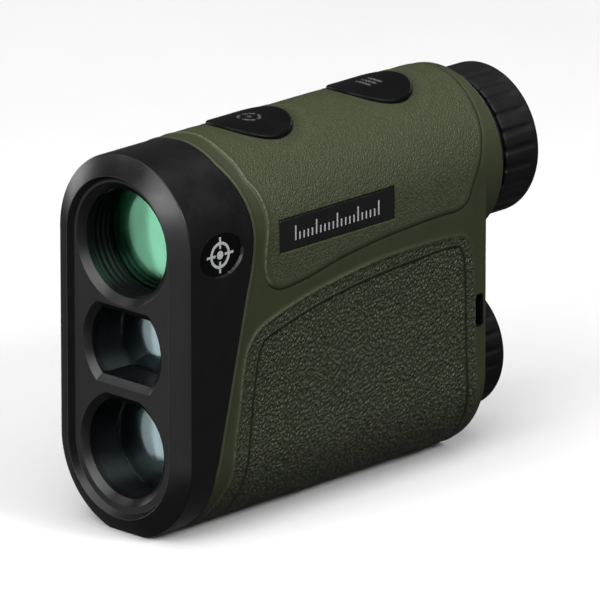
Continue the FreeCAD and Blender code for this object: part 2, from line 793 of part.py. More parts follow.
def rear_bores(body, name):
    eyepiece = station_sketch(body, name + "_eyepiece_bore", "stop_station")
    circle(eyepiece, "0", AXIS_UP, "collar_tail + fit_gap")
    pocket(body, eyepiece, "overall_length")
    battery = station_sketch(body, name + "_battery_bore", "stop_station")
    circle(battery, "0", "battery_height", "thread_bore + thread_wall + fit_gap")
    pocket(body, battery, "overall_length")


def make_gasket():
    body = new_body("bezel_gasket")
    sketch = station_sketch(body, "gasket_section", FACE_BACK)
    stadium(sketch, CHASSIS_RADIUS)
    pad(body, sketch, "gasket_thickness")
    inside = station_sketch(body, "gasket_inside", FACE_BACK)
    stadium(inside, CAVITY_RADIUS)
    pocket(body, inside, "gasket_thickness")
    return keep(body, "bezel_gasket")


def make_screws():
    """Four identical screws across the chassis, and four that hold the bezel."""
    along = FreeCAD.Rotation(FreeCAD.Vector(0, 1, 0), 90)
    group = []
    for station, height in BOSSES:
        place = FreeCAD.Vector(number("screw_seat") - number("screw_length"), station, height)
        shank = Part.makeCylinder(number("screw_radius"), number("screw_length"))
        head = Part.makeCylinder(number("screw_head"), number("screw_head_height"),
                                 FreeCAD.Vector(0, 0, number("screw_length")))
        screw = shank.fuse(head).removeSplitter()
        screw.Placement = FreeCAD.Placement(place, along)
        group.append(screw)
    add_group("housing_screws", group)
    backward = FreeCAD.Rotation(FreeCAD.Vector(1, 0, 0), -90)
    group = []
    seat = number("bench_station + bench_thickness")
    for across, height in BEZEL_SCREWS:
        length = number("bezel_screw_length")
        shank = Part.makeCylinder(number("bezel_screw_radius"), length)
        head = Part.makeCylinder(number("bezel_screw_head"), number("screw_head_height"),
                                 FreeCAD.Vector(0, 0, length))
        screw = shank.fuse(head).removeSplitter()
        screw.Placement = FreeCAD.Placement(FreeCAD.Vector(across, seat - length, height), backward)
        group.append(screw)
    add_group("bezel_screws", group)


def add_group(name, solids):
    """Identical pieces that share one node as separate solids."""
    item = doc.addObject("Part::Feature", name)
    item.Shape = Part.makeCompound(solids)
    return keep(item, name)


# ---------------------------------------------------------------- objective

def make_objective():
    turned("objective_barrel", AXIS_UP, (
        (FACE_BACK + " + running_gap", "barrel_bore"),
        (FACE_BACK + " + running_gap", "barrel_outer"),
        ("barrel_end", "barrel_outer"),
        ("barrel_end", "barrel_throat"),
        ("lens_station + crown_edge + flint_edge", "barrel_throat"),
        ("lens_station + crown_edge + flint_edge", "barrel_bore")))
    retainer_end = "lens_station - retainer_relief"
    station = FACE_BACK + " + running_gap"
    outline = [(retainer_end, "barrel_bore - fit_gap"), (station, "barrel_bore - fit_gap")]
    for _ in range(RIDGE_COUNT):
        outline += [(station, "retainer_inner"),
                    (station + " + ridge_land", "retainer_inner"),
                    (station + " + ridge_land", "retainer_inner + ridge_depth"),
                    (station + " + ridge_pitch", "retainer_inner + ridge_depth")]
        station += " + ridge_pitch"
    outline += [(station, "retainer_inner"), (retainer_end, "retainer_inner")]
    turned("objective_retainer", AXIS_UP, outline)
    lens("objective_crown_lens", AXIS_UP, "lens_station", "crown_edge", "lens_radius",
         "lens_sag", "lens_sag / 2")
    lens("objective_flint_lens", AXIS_UP, "lens_station + crown_edge", "flint_edge", "lens_radius",
         "-lens_sag / 2", "-loose_gap")


# ---------------------------------------------------------------- laser windows

def window_barrel(name, height, radius, top, bottom, end):
    """A lens tube behind a laser window, its section following the window."""
    body = new_body(name)
    start = FACE_BACK + " + running_gap"
    outside = station_sketch(body, name + "_outside", start)
    cut_circle(outside, radius + " + window_wall", top + " + window_wall",
               bottom + " + window_wall" if bottom else None)
    pad(body, outside, "%s - (%s)" % (end, start))
    inside = station_sketch(body, name + "_inside", start)
    cut_circle(inside, radius + " + fit_gap", top + " + fit_gap", bottom + " + fit_gap" if bottom else None)
    pocket(body, inside, "%s - (%s) - window_wall" % (end, start))
    back = station_sketch(body, name + "_back", start)
    circle(back, "0", "0", "diode_radius + running_gap")
    pocket(body, back, "overall_length")
    return keep(body, name, height)


def window_lens(name, height, radius, top, bottom):
    """A collimating lens, cut to the shape of its window; the bulge faces forward."""
    body = new_body(name)
    sketch = new_sketch(body, "YZ_Plane", name + "_outline")
    front, back = "window_lens_station", "window_lens_station + window_lens_edge"
    apex = front + " - window_lens_sag"
    rim = segment(sketch, (front, radius), (back, radius))
    axis = segment(sketch, (back, "0"), (apex, "0"))
    pin_point(sketch, rim, 1, front, radius)
    pin_point(sketch, rim, 2, back, radius)
    pin_point(sketch, axis, 1, back, "0")
    pin_point(sketch, axis, 2, apex, "0")
    lens_face(sketch, (apex, front), radius, axis, 2, rim, 1)
    lens_face(sketch, (back, back), radius, axis, 1, rim, 2)
    revolve(body, "Revolution", sketch)
    for sign, flat in ((1, top), (-1, bottom)):
        if flat is None:
            continue
        trim = station_sketch(body, "%s_trim_%d" % (name, sign + 1), "0")
        limits = (flat, "2 * body_radius") if sign > 0 else ("-2 * body_radius", "-(%s)" % flat)
        rectangle(trim, "-body_radius", "body_radius", limits[0], limits[1])
        pocket(body, trim, "overall_length")
    return keep(body, name, height)


def can(name, height, start):
    """A flanged metal can, as laser diodes and detectors have."""
    return turned(name, height, (
        (start, "0"),
        (start, "diode_radius"),
        ("%s + diode_length" % start, "diode_radius"),
        ("%s + diode_length" % start, "diode_flange"),
        ("%s + diode_length + window_wall" % start, "diode_flange"),
        ("%s + diode_length + window_wall" % start, "0")))


def make_laser():
    window_barrel("emitter_barrel", "emitter_height", "emitter_radius",
                  "emitter_flat", "emitter_flat", "emitter_end")
    window_lens("emitter_lens", "emitter_height", "emitter_radius", "emitter_flat", "emitter_flat")
    can("laser_diode", "emitter_height", "emitter_end - diode_length + fit_gap")
    window_barrel("receiver_barrel", AXIS_LOW, "receiver_radius", "receiver_flat", None, "receiver_end")
    window_lens("receiver_lens", AXIS_LOW, "receiver_radius", "receiver_flat", None)
    turned("receiver_filter", AXIS_LOW, (
        ("receiver_end - diode_length - 2 * filter_thickness", "0"),
        ("receiver_end - diode_length - 2 * filter_thickness", "receiver_tail"),
        ("receiver_end - diode_length - filter_thickness", "receiver_tail"),
        ("receiver_end - diode_length - filter_thickness", "0")))
    can("detector", AXIS_LOW, "receiver_end - diode_length + fit_gap")
    for name, height, station in (("laser_board", "emitter_height", "emitter_end"),
                                  ("detector_board", AXIS_LOW, "receiver_end")):
        box(name, station + " + window_wall + 2 * fit_gap", "board_thickness", "-sensor_board_half",
            "2 * sensor_board_half", "-sensor_board_half", "2 * sensor_board_half", height)


def make_bench():
    """The bulkhead that holds the three lens barrels in line and takes the bezel's screws."""
    body = new_body("optics_bench")
    plate = station_sketch(body, "bench_plate", "bench_station")
    stadium(plate, CAVITY_RADIUS + " - fit_gap")
    pad(body, plate, "bench_thickness")
    objective = station_sketch(body, "bench_objective", "bench_station")
    circle(objective, "0", AXIS_UP, "barrel_outer + fit_gap")
    pocket(body, objective, "bench_thickness")
    for name, height, radius, flat, low in (
            ("emitter", "emitter_height", "emitter_radius", "emitter_flat", "emitter_flat"),
            ("receiver", AXIS_LOW, "receiver_radius", "receiver_flat", None)):
        sketch = station_sketch(body, "bench_" + name, "bench_station")
        bind(sketch, AttachmentOffset__Base__y=height)
        grow = " + window_wall + fit_gap"
        cut_circle(sketch, radius + grow, flat + grow, low + grow if low else None)
        pocket(body, sketch, "bench_thickness")
    for count, (across, height) in enumerate(BEZEL_SCREWS):
        hole = station_sketch(body, "bench_hole_%d" % count, "bench_station")
        circle(hole, str(across), str(height), "bezel_screw_radius + fit_gap")
        pocket(body, hole, "bench_thickness")
    return keep(body, "optics_bench")


# ---------------------------------------------------------------- prisms, display and field stop

def make_prisms():
    """A roof prism and a half-penta prism in one holder; the light path folds between them."""
    end = "prism_start + prism_length"
    prism("roof_prism", (("prism_start", "prism_half"),
                         ("prism_start", "-prism_half"),
                         (end + " - prism_gap", "prism_half")))
    prism("half_prism", (("prism_start + prism_gap", "-prism_half"),
                         (end, "-prism_half"),
                         (end, "prism_half")))
    body = new_body("prism_holder")
    outside = station_sketch(body, "holder_outside", "holder_start")
    cut_circle(outside, CAVITY_RADIUS + " - fit_gap", HOLDER_TOP)
    pad(body, outside, "holder_length")
    seats = (("prism", "prism_start - fit_gap", "prism_length + 2 * fit_gap", "prism_half + fit_gap"),
             ("display", "display_station - fit_gap", "holder_length", "display_half + fit_gap"))
    for name, start, length, half in seats:
        sketch = station_sketch(body, "holder_%s_seat" % name, start)
        rectangle(sketch, "-(%s)" % half, half, "-(%s)" % half, half)
        pocket(body, sketch, length)
    light = station_sketch(body, "holder_light_path", "holder_start")
    circle(light, "0", "0", "stop_radius")
    pocket(body, light, "holder_length")
    keep(body, "prism_holder", AXIS_UP)


def prism(name, outline):
    body = new_body(name)
    sketch = new_sketch(body, "YZ_Plane", name + "_outline")
    polygon(sketch, outline)
    pad(body, sketch, "2 * prism_half", both_ways=True)
    return keep(body, name, AXIS_UP)


def make_display():
    body = new_body("display_plate")
    sketch = station_sketch(body, "display_outline", "display_station")
    rectangle(sketch, "-display_half", "display_half", "-display_half", "display_half")
    pad(body, sketch, "display_thickness")
    keep(body, "display_plate", AXIS_UP)
    stop = new_body("field_stop")
    plate = station_sketch(stop, "stop_outside", "stop_station")
    cut_circle(plate, CAVITY_RADIUS + " - fit_gap", HOLDER_TOP)
    pad(stop, plate, "stop_thickness")
    hole = station_sketch(stop, "stop_hole", "stop_station")
    circle(hole, "0", "0", "stop_radius")
    pocket(stop, hole, "stop_thickness")
    keep(stop, "field_stop", AXIS_UP)


# ---------------------------------------------------------------- eyepiece

def groove_pattern(body, base, start, radius, count):
    """Shallow grooves along the rim, one sketch repeated round the axis."""
    sketch = station_sketch(body, body.Name + "_rib", start)
    rectangle(sketch, "-rib_slot / 2", "rib_slot / 2", radius + " - rib_groove", radius + " + rib_slot")
    cut = pocket(body, sketch, "overall_length")
    pattern = body.newObject("PartDesign::PolarPattern", body.Name + "_ribs")
    pattern.Originals = [cut]
    pattern.Axis = (sketch, ["N_Axis"])
    pattern.Angle = 360
    bind(pattern, Occurrences=count)
    body.Tip = pattern
    return pattern


def make_eyepiece():
    turned("eyepiece_collar", AXIS_UP, (
        ("collar_start", "collar_bore"),
        ("collar_start", "collar_tail"),
        ("tube_length", "collar_tail"),
        ("tube_length", "collar_radius"),
        ("tube_length + collar_length", "collar_radius"),
        ("tube_length + collar_length", "neck_radius"),
        ("neck_end", "neck_radius"),
        ("neck_end", "collar_bore")))
    ring_start = "tube_length + collar_length + loose_gap"
    turned("diopter_washer", AXIS_UP, ring_outline(
        "tube_length + collar_length", ring_start + " - fit_gap", "neck_radius + running_gap", "ring_radius"))
    turned("diopter_ring", AXIS_UP, ring_outline(
        ring_start, "ring_end", "neck_radius + running_gap", "ring_radius"))
    eyecup = new_body("eyecup")
    sketch = new_sketch(eyecup, "YZ_Plane", "eyecup_outline")
    polygon(sketch, ((ring_start, "ring_radius"),
                     (ring_start, "eyecup_radius"),
                     ("overall_length - eyecup_round", "eyecup_radius"),
                     ("overall_length", "eyecup_radius - eyecup_round"),
                     ("overall_length", "eyecup_lip"),
                     ("ring_end", "eyecup_lip"),
                     ("ring_end", "ring_radius")))
    turn = revolve(eyecup, "Revolution", sketch)
    groove_pattern(eyecup, turn, ring_start, "eyecup_radius", "rib_count")
    keep(eyecup, "eyecup", AXIS_UP)
    make_ocular()


def make_ocular():
    """The sliding cell that carries both eyepiece lenses."""
    end = "cell_start + cell_length"
    turned("ocular_cell", AXIS_UP, (
        ("cell_start", "cell_bore - ocular_step"),
        ("cell_start", "collar_bore - running_gap"),
        (end, "collar_bore - running_gap"),
        (end, "cell_bore"),
        ("cell_start + ocular_step", "cell_bore"),
        ("cell_start + ocular_step", "cell_bore - ocular_step")))
    first = "cell_start + ocular_step + ocular_lens_sag"
    second = first + " + ocular_spacing"
    lens("field_lens", AXIS_UP, first, "ocular_lens_edge", "cell_bore - fit_gap", "0", "ocular_lens_sag")
    lens("eye_lens", AXIS_UP, second, "ocular_lens_edge", "cell_bore - fit_gap", "ocular_lens_sag", "0")
    turned("ocular_spacer", AXIS_UP, ring_outline(
        first + " + ocular_lens_edge + loose_gap", second + " - loose_gap",
        "cell_bore - ocular_step / 2", "cell_bore - fit_gap"))
    turned("ocular_retainer", AXIS_UP, ring_outline(
        second + " + ocular_lens_edge", second + " + ocular_lens_edge + retainer_height",
        "cell_bore - ocular_step / 2", "cell_bore - fit_gap"))


# ---------------------------------------------------------------- battery and cap

def make_battery():
    cell_front = "battery_end - battery_length"
    nub_front = cell_front + " - nub_length"
    turned("battery_cell", "battery_height", (
        (nub_front, "0"),
        (nub_front, "nub_radius"),
        (cell_front, "nub_radius"),
        (cell_front, "battery_radius"),
        ("battery_end", "battery_radius"),
        ("battery_end", "0")))
    contact_front = nub_front + " - contact_thickness - fit_gap"
    turned("battery_contact", "battery_height", (
        (contact_front, "0"),
        (contact_front, "contact_radius"),
        (nub_front + " - fit_gap", "contact_radius"),
        (nub_front + " - fit_gap", "0")))
    inner = "battery_radius + running_gap"
    floor = contact_front + " - fit_gap"
    turned("battery_tube", "battery_height", (
        (floor + " - battery_tube_wall", "0"),
        (floor + " - battery_tube_wall", inner + " + battery_tube_wall"),
        ("thread_start", inner + " + battery_tube_wall"),
        ("thread_start", "thread_bore + thread_wall"),
        (CHASSIS_GRIP_END + " + running_gap", "thread_bore + thread_wall"),
        (CHASSIS_GRIP_END + " + running_gap", "thread_bore"),
        ("cap_sleeve_start - loose_gap", "thread_bore"),
        ("cap_sleeve_start - loose_gap", inner),
        (floor, inner),
        (floor, "0")))


def make_battery_cap():
    cap = new_body("battery_cap")
    sketch = new_sketch(cap, "YZ_Plane", "cap_outline")
    sleeve = "thread_bore - running_gap"
    skirt_start = CHASSIS_GRIP_END + " + loose_gap"
    polygon(sketch, (("cap_sleeve_start", "cap_sleeve_bore"),
                     ("cap_sleeve_start", sleeve),
                     ("cap_skirt_floor", sleeve),
                     ("cap_skirt_floor", "cap_skirt_bore"),
                     (skirt_start, "cap_skirt_bore"),
                     (skirt_start, "cap_radius"),
                     ("cap_end - cap_chamfer", "cap_radius"),
                     ("cap_end", "cap_radius - cap_chamfer"),
                     ("cap_end", "0"),
                     ("cap_well_floor", "0"),
                     ("cap_well_floor", "cap_sleeve_bore")))
    turn = revolve(cap, "Revolution", sketch)
    groove_pattern(cap, turn, skirt_start, "cap_radius", "rib_count")
    keep(cap, "battery_cap", "battery_height")
    seal = doc.addObject("Part::Torus", "cap_seal")
    seal.Placement = FreeCAD.Placement(FreeCAD.Vector(), FreeCAD.Rotation(FreeCAD.Vector(1, 0, 0), 90))
    bind(seal, Radius1="thread_bore + thread_wall / 2", Radius2="cap_seal_wire")
    keep(seal, "cap_seal", "battery_height")
    bind(seal, Placement__Base__y="-overall_length / 2 + cap_skirt_floor - cap_seal_wire")
    turned("cap_contact", "battery_height", (
        ("battery_end + fit_gap", "0"),
        ("battery_end + fit_gap", "contact_radius"),
        ("battery_end + fit_gap + contact_thickness", "contact_radius"),
        ("battery_end + fit_gap + contact_thickness", "0")))
    make_spring()


def make_spring():
    """Coil spring between the cap and its contact plate."""
    path = doc.addObject("Part::Helix", "spring_path")
    bind(path, Pitch="spring_pitch", Height="spring_height", Radius="spring_radius")
    wire = doc.addObject("Part::Circle", "spring_wire_section")
    wire.Placement = FreeCAD.Placement(FreeCAD.Vector(), FreeCAD.Rotation(FreeCAD.Vector(1, 0, 0), 90))
    bind(wire, Radius="spring_wire", Placement__Base__x="spring_radius")
    coil = doc.addObject("Part::Sweep", "cap_spring")
    coil.Sections = [wire]
    coil.Spine = (path, [])
    coil.Solid = True
    coil.Frenet = True
    coil.Placement = FreeCAD.Placement(FreeCAD.Vector(), FreeCAD.Rotation(FreeCAD.Vector(1, 0, 0), -90))
    keep(coil, "cap_spring", "battery_height")
    start = "battery_end + contact_thickness + spring_wire + 3 * fit_gap"
    bind(coil, Placement__Base__y="-overall_length / 2 + " + start)


# ---------------------------------------------------------------- buttons and electronics

def make_button(name, station):
    """A round button whose top follows the curve of the tube, hollow over its switch."""
    column = doc.addObject("Part::Cylinder", name + "_column")
    bind(column, Radius="button_radius", Height="overall_height - button_floor + body_radius",
         Placement__Base__y=station, Placement__Base__z="button_floor")
    barrel = doc.addObject("Part::Cylinder", name + "_barrel")
    barrel.Placement = FreeCAD.Placement(FreeCAD.Vector(), FreeCAD.Rotation(FreeCAD.Vector(1, 0, 0), -90))
    bind(barrel, Radius="body_radius + button_proud", Height="overall_length", Placement__Base__z=AXIS_UP)
    plug = doc.addObject("Part::Common", name + "_plug")
    plug.Base = column
    plug.Tool = barrel
    well = doc.addObject("Part::Cylinder", name + "_well")
    bind(well, Radius="button_well_radius", Height="button_well_roof - button_floor + loose_gap",
         Placement__Base__y=station, Placement__Base__z="button_floor - loose_gap")
    hollow = doc.addObject("Part::Cut", name + "_hollow")
    hollow.Base = plug
    hollow.Tool = well
    doc.recompute()
    rounded = doc.addObject("Part::Fillet", name)
    rounded.Base = hollow
    size = number("button_round")
    top = number("button_floor") + size
    rounded.Edges = [(count, size, size) for count, edge in enumerate(hollow.Shape.Edges, start=1)
                     if edge.BoundBox.ZMin > top and edge.BoundBox.XLength > size]
    return keep(rounded, name)


def make_switches():
    start = "front_button_station - mat_overhang"
    length = "rear_button_station - front_button_station + 2 * mat_overhang"
    mat = new_body("button_mat")
    sheet_sketch = station_sketch(mat, "mat_section", start)
    rectangle(sheet_sketch, "-mat_half_width", "mat_half_width", "mat_floor", "mat_floor + mat_thickness")
    pad(mat, sheet_sketch, length)
    for name, station in BUTTON_STATIONS.items():
        dome = new_sketch(mat, "XY_Plane", name + "_dome", "mat_floor + mat_thickness")
        circle(dome, "0", station, "mat_dome_radius")
        pad(mat, dome, "mat_dome_height")
    keep(mat, "button_mat")
    group = []
    for station in BUTTON_STATIONS.values():
        base = FreeCAD.Vector(0, number(station), number("mat_floor - fit_gap - switch_thickness"))
        group.append(Part.makeCylinder(number("switch_radius"), number("switch_thickness"), base))
    add_group("dome_switches", group)
    box("button_board", start, length, "-mat_half_width", "2 * mat_half_width",
        BUTTON_BOARD_FLOOR, "board_thickness")


def make_boards():
    box("main_board", "main_board_start", "main_board_length", "-main_board_side - board_thickness",
        "board_thickness", "main_board_floor", "main_board_height")
    chips = []
    size = number("chip_size")
    margin = number("chip_margin")
    for count in range(CHIP_COUNT):
        station = number("main_board_start") + margin + count * (size + margin)
        corner = FreeCAD.Vector(-number("main_board_side"), station, number("main_board_floor") + margin)
        chips.append(Part.makeBox(number("chip_thickness"), size, size, corner))
    add_group("board_chips", chips)
    box("button_flex", "flex_station", "flex_thickness", "-main_board_side", "flex_width",
        "main_board_floor + main_board_height / 2",
        "%s - fit_gap - main_board_floor - main_board_height / 2" % BUTTON_BOARD_FLOOR)


def main():
    make_bezel()
    make_gasket()
    make_badge("left_badge", BEZEL_RADIUS + " - badge_depth")
    make_badge("right_badge", "-(%s) + badge_depth - badge_thickness" % BEZEL_RADIUS)
    make_armour()
    make_nameplate("left_nameplate", "body_radius - plate_recess")
    make_nameplate("right_nameplate", "-body_radius + plate_recess - plate_thickness")
    make_housing("left_housing", 1)
    make_housing("right_housing", -1)
    make_screws()
    make_objective()
    make_bench()
    make_laser()
    make_prisms()
    make_display()
    make_eyepiece()
    make_battery()
    make_battery_cap()
    for name, station in BUTTON_STATIONS.items():
        make_button(name, station)
    make_switches()
    make_boards()
    doc.recompute()
    export()


def export():
    """Refuse a broken sub-part, then write each one to its own file."""
    os.makedirs("parts", exist_ok=True)
    for item in doc.Objects:
        if "Invalid" in item.State or "Error" in item.State:
            raise RuntimeError("%s is %s" % (item.Name, item.State))
    for item in SUBPARTS:
        if item.Shape.isNull() or not item.Shape.isValid() or not item.Shape.Solids:
            raise RuntimeError("%s has no valid shape" % item.Label)
        item.Shape.exportStep("parts/%s.step" % item.Label)


main()
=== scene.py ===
"""Looks of a monocular laser rangefinder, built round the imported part.

Lengths are in millimetres. A point is (x, station, z): station is the distance behind the front rim,
x points to the user's left and z points up. Arc length runs round the body section from the top centre
line, positive to the left.
"""
import math
from collections import namedtuple

import bmesh
import bpy
import numpy as np
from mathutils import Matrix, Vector, noise


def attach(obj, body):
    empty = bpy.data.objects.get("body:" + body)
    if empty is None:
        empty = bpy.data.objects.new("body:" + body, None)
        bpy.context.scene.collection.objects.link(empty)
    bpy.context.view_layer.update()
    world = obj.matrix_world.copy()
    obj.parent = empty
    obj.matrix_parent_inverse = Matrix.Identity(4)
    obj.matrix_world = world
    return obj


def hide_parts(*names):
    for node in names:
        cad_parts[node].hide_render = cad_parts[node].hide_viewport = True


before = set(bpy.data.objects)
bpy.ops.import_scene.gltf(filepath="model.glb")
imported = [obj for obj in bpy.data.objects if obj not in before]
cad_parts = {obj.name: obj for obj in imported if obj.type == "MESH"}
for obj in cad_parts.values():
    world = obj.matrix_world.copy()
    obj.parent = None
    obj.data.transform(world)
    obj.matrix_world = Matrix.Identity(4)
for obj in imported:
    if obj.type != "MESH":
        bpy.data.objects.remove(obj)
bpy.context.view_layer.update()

MM = 0.001
STATION_ORIGIN = 51.0
QUARTER = math.pi / 2

# body section
BODY_RADIUS = 17.9
AXIS_UP = 58.1
AXIS_LOW = 17.188
FOOT_HALF_WIDTH = 5.0
ARC = BODY_RADIUS * QUARTER
STRAIGHT = AXIS_UP - AXIS_LOW
HALF_GIRTH = 2 * ARC + STRAIGHT
FOOT_ARC = ARC + STRAIGHT + BODY_RADIUS * math.acos(FOOT_HALF_WIDTH / BODY_RADIUS)
GRIP_END = 84.5
TUBE_END = 89.2
REAR_ROUND = 0.6
ARMOUR_WALL = 1.6

# rear edge of the bezel as (station, height): a straight run, then an arc through the upper three
SEAM_LOW = (8.9, 14.0)
SEAM_BEND = (17.3, 49.0)
SEAM_CROWN = (19.1, 60.0)
SEAM_TOP = (16.6, 73.0)

# bezel
BEZEL_RADIUS = 17.65
BEZEL_FLOOR = 0.25
BEZEL_INNER = 16.35
BEVEL_DEPTH = 2.3
CREST_RADIUS = 13.6
FACE_RADIUS = 12.75
FACE_STATION = 1.3
FACE_BACK = 3.8
CHAMFER = 1.4
CHAMFER_DEPTH = 1.1
MOUTH_RADIUS = 10.7
MOUTH_CHAMFER = 1.5
MOUTH_CHAMFER_END = 2.6
EMITTER_HEIGHT = 37.5
EMITTER_RADIUS = 9.2
EMITTER_FLAT = 6.6
RECEIVER_RADIUS = 10.0
RECEIVER_FLAT = 9.1

# buttons, plate, badge, slot
BUTTON_STATIONS = {"front_button": 36.0, "rear_button": 69.4}
BUTTON_RADIUS = 8.3
BUTTON_TOP_RADIUS = 18.19
BUTTON_FLOOR = 71.5
WELL_RADIUS = 3.2
WELL_ROOF = 72.35
HOLE_RADIUS = 8.6
Patch = namedtuple("Patch", "station height half_long half_tall")
PLATE = Patch(42.2, 57.75, 15.9, 3.2)
PLATE_FACE = 17.6
PLATE_SEAT = 16.8
BADGE = Patch(10.5, 57.7, 5.8, 4.3)
BADGE_FACE = 17.15
BADGE_SEAT = 16.8
SLOT = Patch(82.3, 30.45, 1.2, 3.4)
SLOT_FLOOR = 11.5
SLOT_REAR = 14.6
SLOT_CHANNEL = 0.5
LINER_GAP = 0.05
LINER_OVERLAP = 0.1
SEAT_GAP = 0.1
MARK_SINK = 0.02
MARK_PROUD = 0.05

# eyepiece and battery cap
COLLAR_HOLE = 13.1
EYECUP_RADIUS = 15.1
EYECUP_START = 92.6
EYECUP_END = 102.0
EYECUP_LIP = 10.6
RING_RADIUS = 13.8
RING_END = 100.2
CAP_HEIGHT = 17.5
CAP_RADIUS = 13.0
CAP_START = 83.2
CAP_END = 95.25
CAP_FLOOR = 84.9
CAP_THREAD_START = 79.0
CAP_THREAD_RADIUS = 9.9
CAP_THREAD_BORE = 8.5
CAP_SKIRT_FLOOR = 84.2
CAP_SKIRT_BORE = 11.6
CAP_DISH_RADIUS = 10.4
CAP_DISH_DEPTH = 0.4
CAP_BEVEL = 0.9
CAP_MIDDLE = 0.6
CAP_GAP = 0.3
RIB_COUNT = 26

FLOOR_REACH = 6.0


# ---- mesh helpers

def full_turn(count):
    """Angles of this many points evenly round a circle."""
    return np.linspace(0, 4 * QUARTER, count + 1)[:-1]


def make_piece(name, points, faces, material, body, replaces, normals=None, layers=None):
    """A smooth shaded mesh from points in millimetres, riding on a body of the part."""
    mesh = bpy.data.meshes.new(name)
    rows = (np.asarray(points, float) - (0, STATION_ORIGIN, 0)) * MM
    mesh.from_pydata(rows.tolist(), [], [list(map(int, face)) for face in faces])
    mesh.update()
    mesh.shade_smooth()
    for layer, values in (layers or {}).items():
        mesh.attributes.new(layer, "FLOAT", "POINT").data.foreach_set("value", np.asarray(values, np.float32))
    if normals is not None:
        mesh.normals_split_custom_set_from_vertices(normals.tolist())
    mesh.materials.append(material)
    piece = bpy.data.objects.new(name, mesh)
    bpy.context.scene.collection.objects.link(piece)
    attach(piece, body)
    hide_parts(*replaces)
    return piece


class Builder:
    """Collects rings of points in millimetres, the faces between them and the flat areas to fill."""

    def __init__(self):
        self.points = []
        self.faces = []
        self.fills = []

    def ring(self, points):
        start = len(self.points)
        self.points.extend([tuple(map(float, point)) for point in points])
        return list(range(start, len(self.points)))

    def circle(self, station, height, radius, count):
        return self.ring([(radius * math.sin(a), station, height + radius * math.cos(a))
                          for a in full_turn(count)])

    def bridge(self, first, second, closed=True):
        """Quads between two rings of equal length."""
        count = len(first)
        for index in range(count if closed else count - 1):
            after = (index + 1) % count
            self.faces.append([first[index], first[after], second[after], second[index]])

    def loft(self, rings, closed=True):
        """Bridges each ring to the next."""
        for first, second in zip(rings, rings[1:]):
            self.bridge(first, second, closed)

    def fill(self, *rings):
        """Fills the flat area inside the first ring and outside the others."""
        self.fills.append(rings)

    def solid(self, rings):
        """Bridges each ring to the next and fills both ends."""
        self.loft(rings)
        self.fill(rings[0])
        self.fill(rings[-1])

    def finish(self, name, slot, body, replaces, sharp=35, layers=None, material=None):
        """Makes the piece in its slot's material or another, its edges crisp above the sharp angle."""
        piece = make_piece(name, self.points, self.faces, material or MATERIALS[slot], body, replaces,
                           layers=layers)
        mesh = bmesh.new()
        mesh.from_mesh(piece.data)
        mesh.verts.ensure_lookup_table()
        for rings in self.fills:
            edges = []
            for ring in rings:
                for a, b in zip(ring, list(ring[1:]) + [ring[0]]):
                    pair = (mesh.verts[a], mesh.verts[b])
                    edges.append(mesh.edges.get(pair) or mesh.edges.new(pair))
            bmesh.ops.triangle_fill(mesh, use_beauty=True, edges=edges)
        bmesh.ops.recalc_face_normals(mesh, faces=mesh.faces)
        for face in mesh.faces:
            face.smooth = True
        for edge in mesh.edges:
            edge.smooth = len(edge.link_faces) != 2 or edge.calc_face_angle(0) < math.radians(sharp)
        mesh.to_mesh(piece.data)
        mesh.free()


def grid_faces(rows, columns):
    """Quads over a grid of vertices, rows first."""
    low = (np.arange(rows - 1)[:, None] * columns + np.arange(columns - 1)[None, :]).ravel()
    high = low + columns
    return np.stack([low, low + 1, high + 1, high], 1)


def smoothstep(low, high, value):
    t = np.clip((value - low) / (high - low), 0, 1)
    return t * t * (3 - 2 * t)


def bump(value, centre, width):
    """A smooth bump, 1 at its centre."""
    return np.exp(-((value - centre) / width) ** 2)


def rounded(corners, steps=5):
    """A polyline through (a, b, radius) corners with each corner replaced by an arc of that radius."""
    path = []
    count = len(corners)
    for index, (a, b, radius) in enumerate(corners):
        here = np.array((a, b))
        if radius < 0.02 or index in (0, count - 1):
            path.append(here)
            continue
        back = np.array(corners[index - 1][:2]) - here
        ahead = np.array(corners[index + 1][:2]) - here
        back = back / np.linalg.norm(back)
        ahead = ahead / np.linalg.norm(ahead)
        half = math.acos(max(-1.0, min(1.0, float(back @ ahead)))) / 2
        reach = radius / math.tan(half)
        centre = here + (back + ahead) / np.linalg.norm(back + ahead) * radius / math.sin(half)
        first = here + back * reach - centre
        last = here + ahead * reach - centre
        for step in np.linspace(0, 1, steps):
            ray = first * (1 - step) + last * step
            path.append(centre + ray / np.linalg.norm(ray) * radius)
    return np.array(path)


def section(arc, radius, floor):
    """x, z and outward direction at each arc length round a stadium of this radius, cut flat at the floor."""
    length = np.abs(arc)
    drop = np.clip(length - ARC, 0, STRAIGHT)
    angle = (length - drop) / BODY_RADIUS
    across, rise = np.sin(angle), np.cos(angle)
    across[angle >= 2 * QUARTER - 1e-9] = 0
    z = AXIS_UP - drop + radius * rise
    flat = z < floor
    side = np.sign(arc)
    return (side * radius * across, np.maximum(z, floor),
            np.where(flat, 0, side * across), np.where(flat, -1, rise))


def seam(z):
    """Station of the rear edge of the bezel at each height."""
    low = np.interp(z, (SEAM_LOW[1], SEAM_BEND[1]), (SEAM_LOW[0], SEAM_BEND[0]))
    height, station, radius = seam_arc()
    rise = np.clip(z, SEAM_BEND[1], SEAM_TOP[1]) - height
    high = station + np.sqrt(np.maximum(radius ** 2 - rise ** 2, 0))
    return np.where(z < SEAM_BEND[1], low, high)


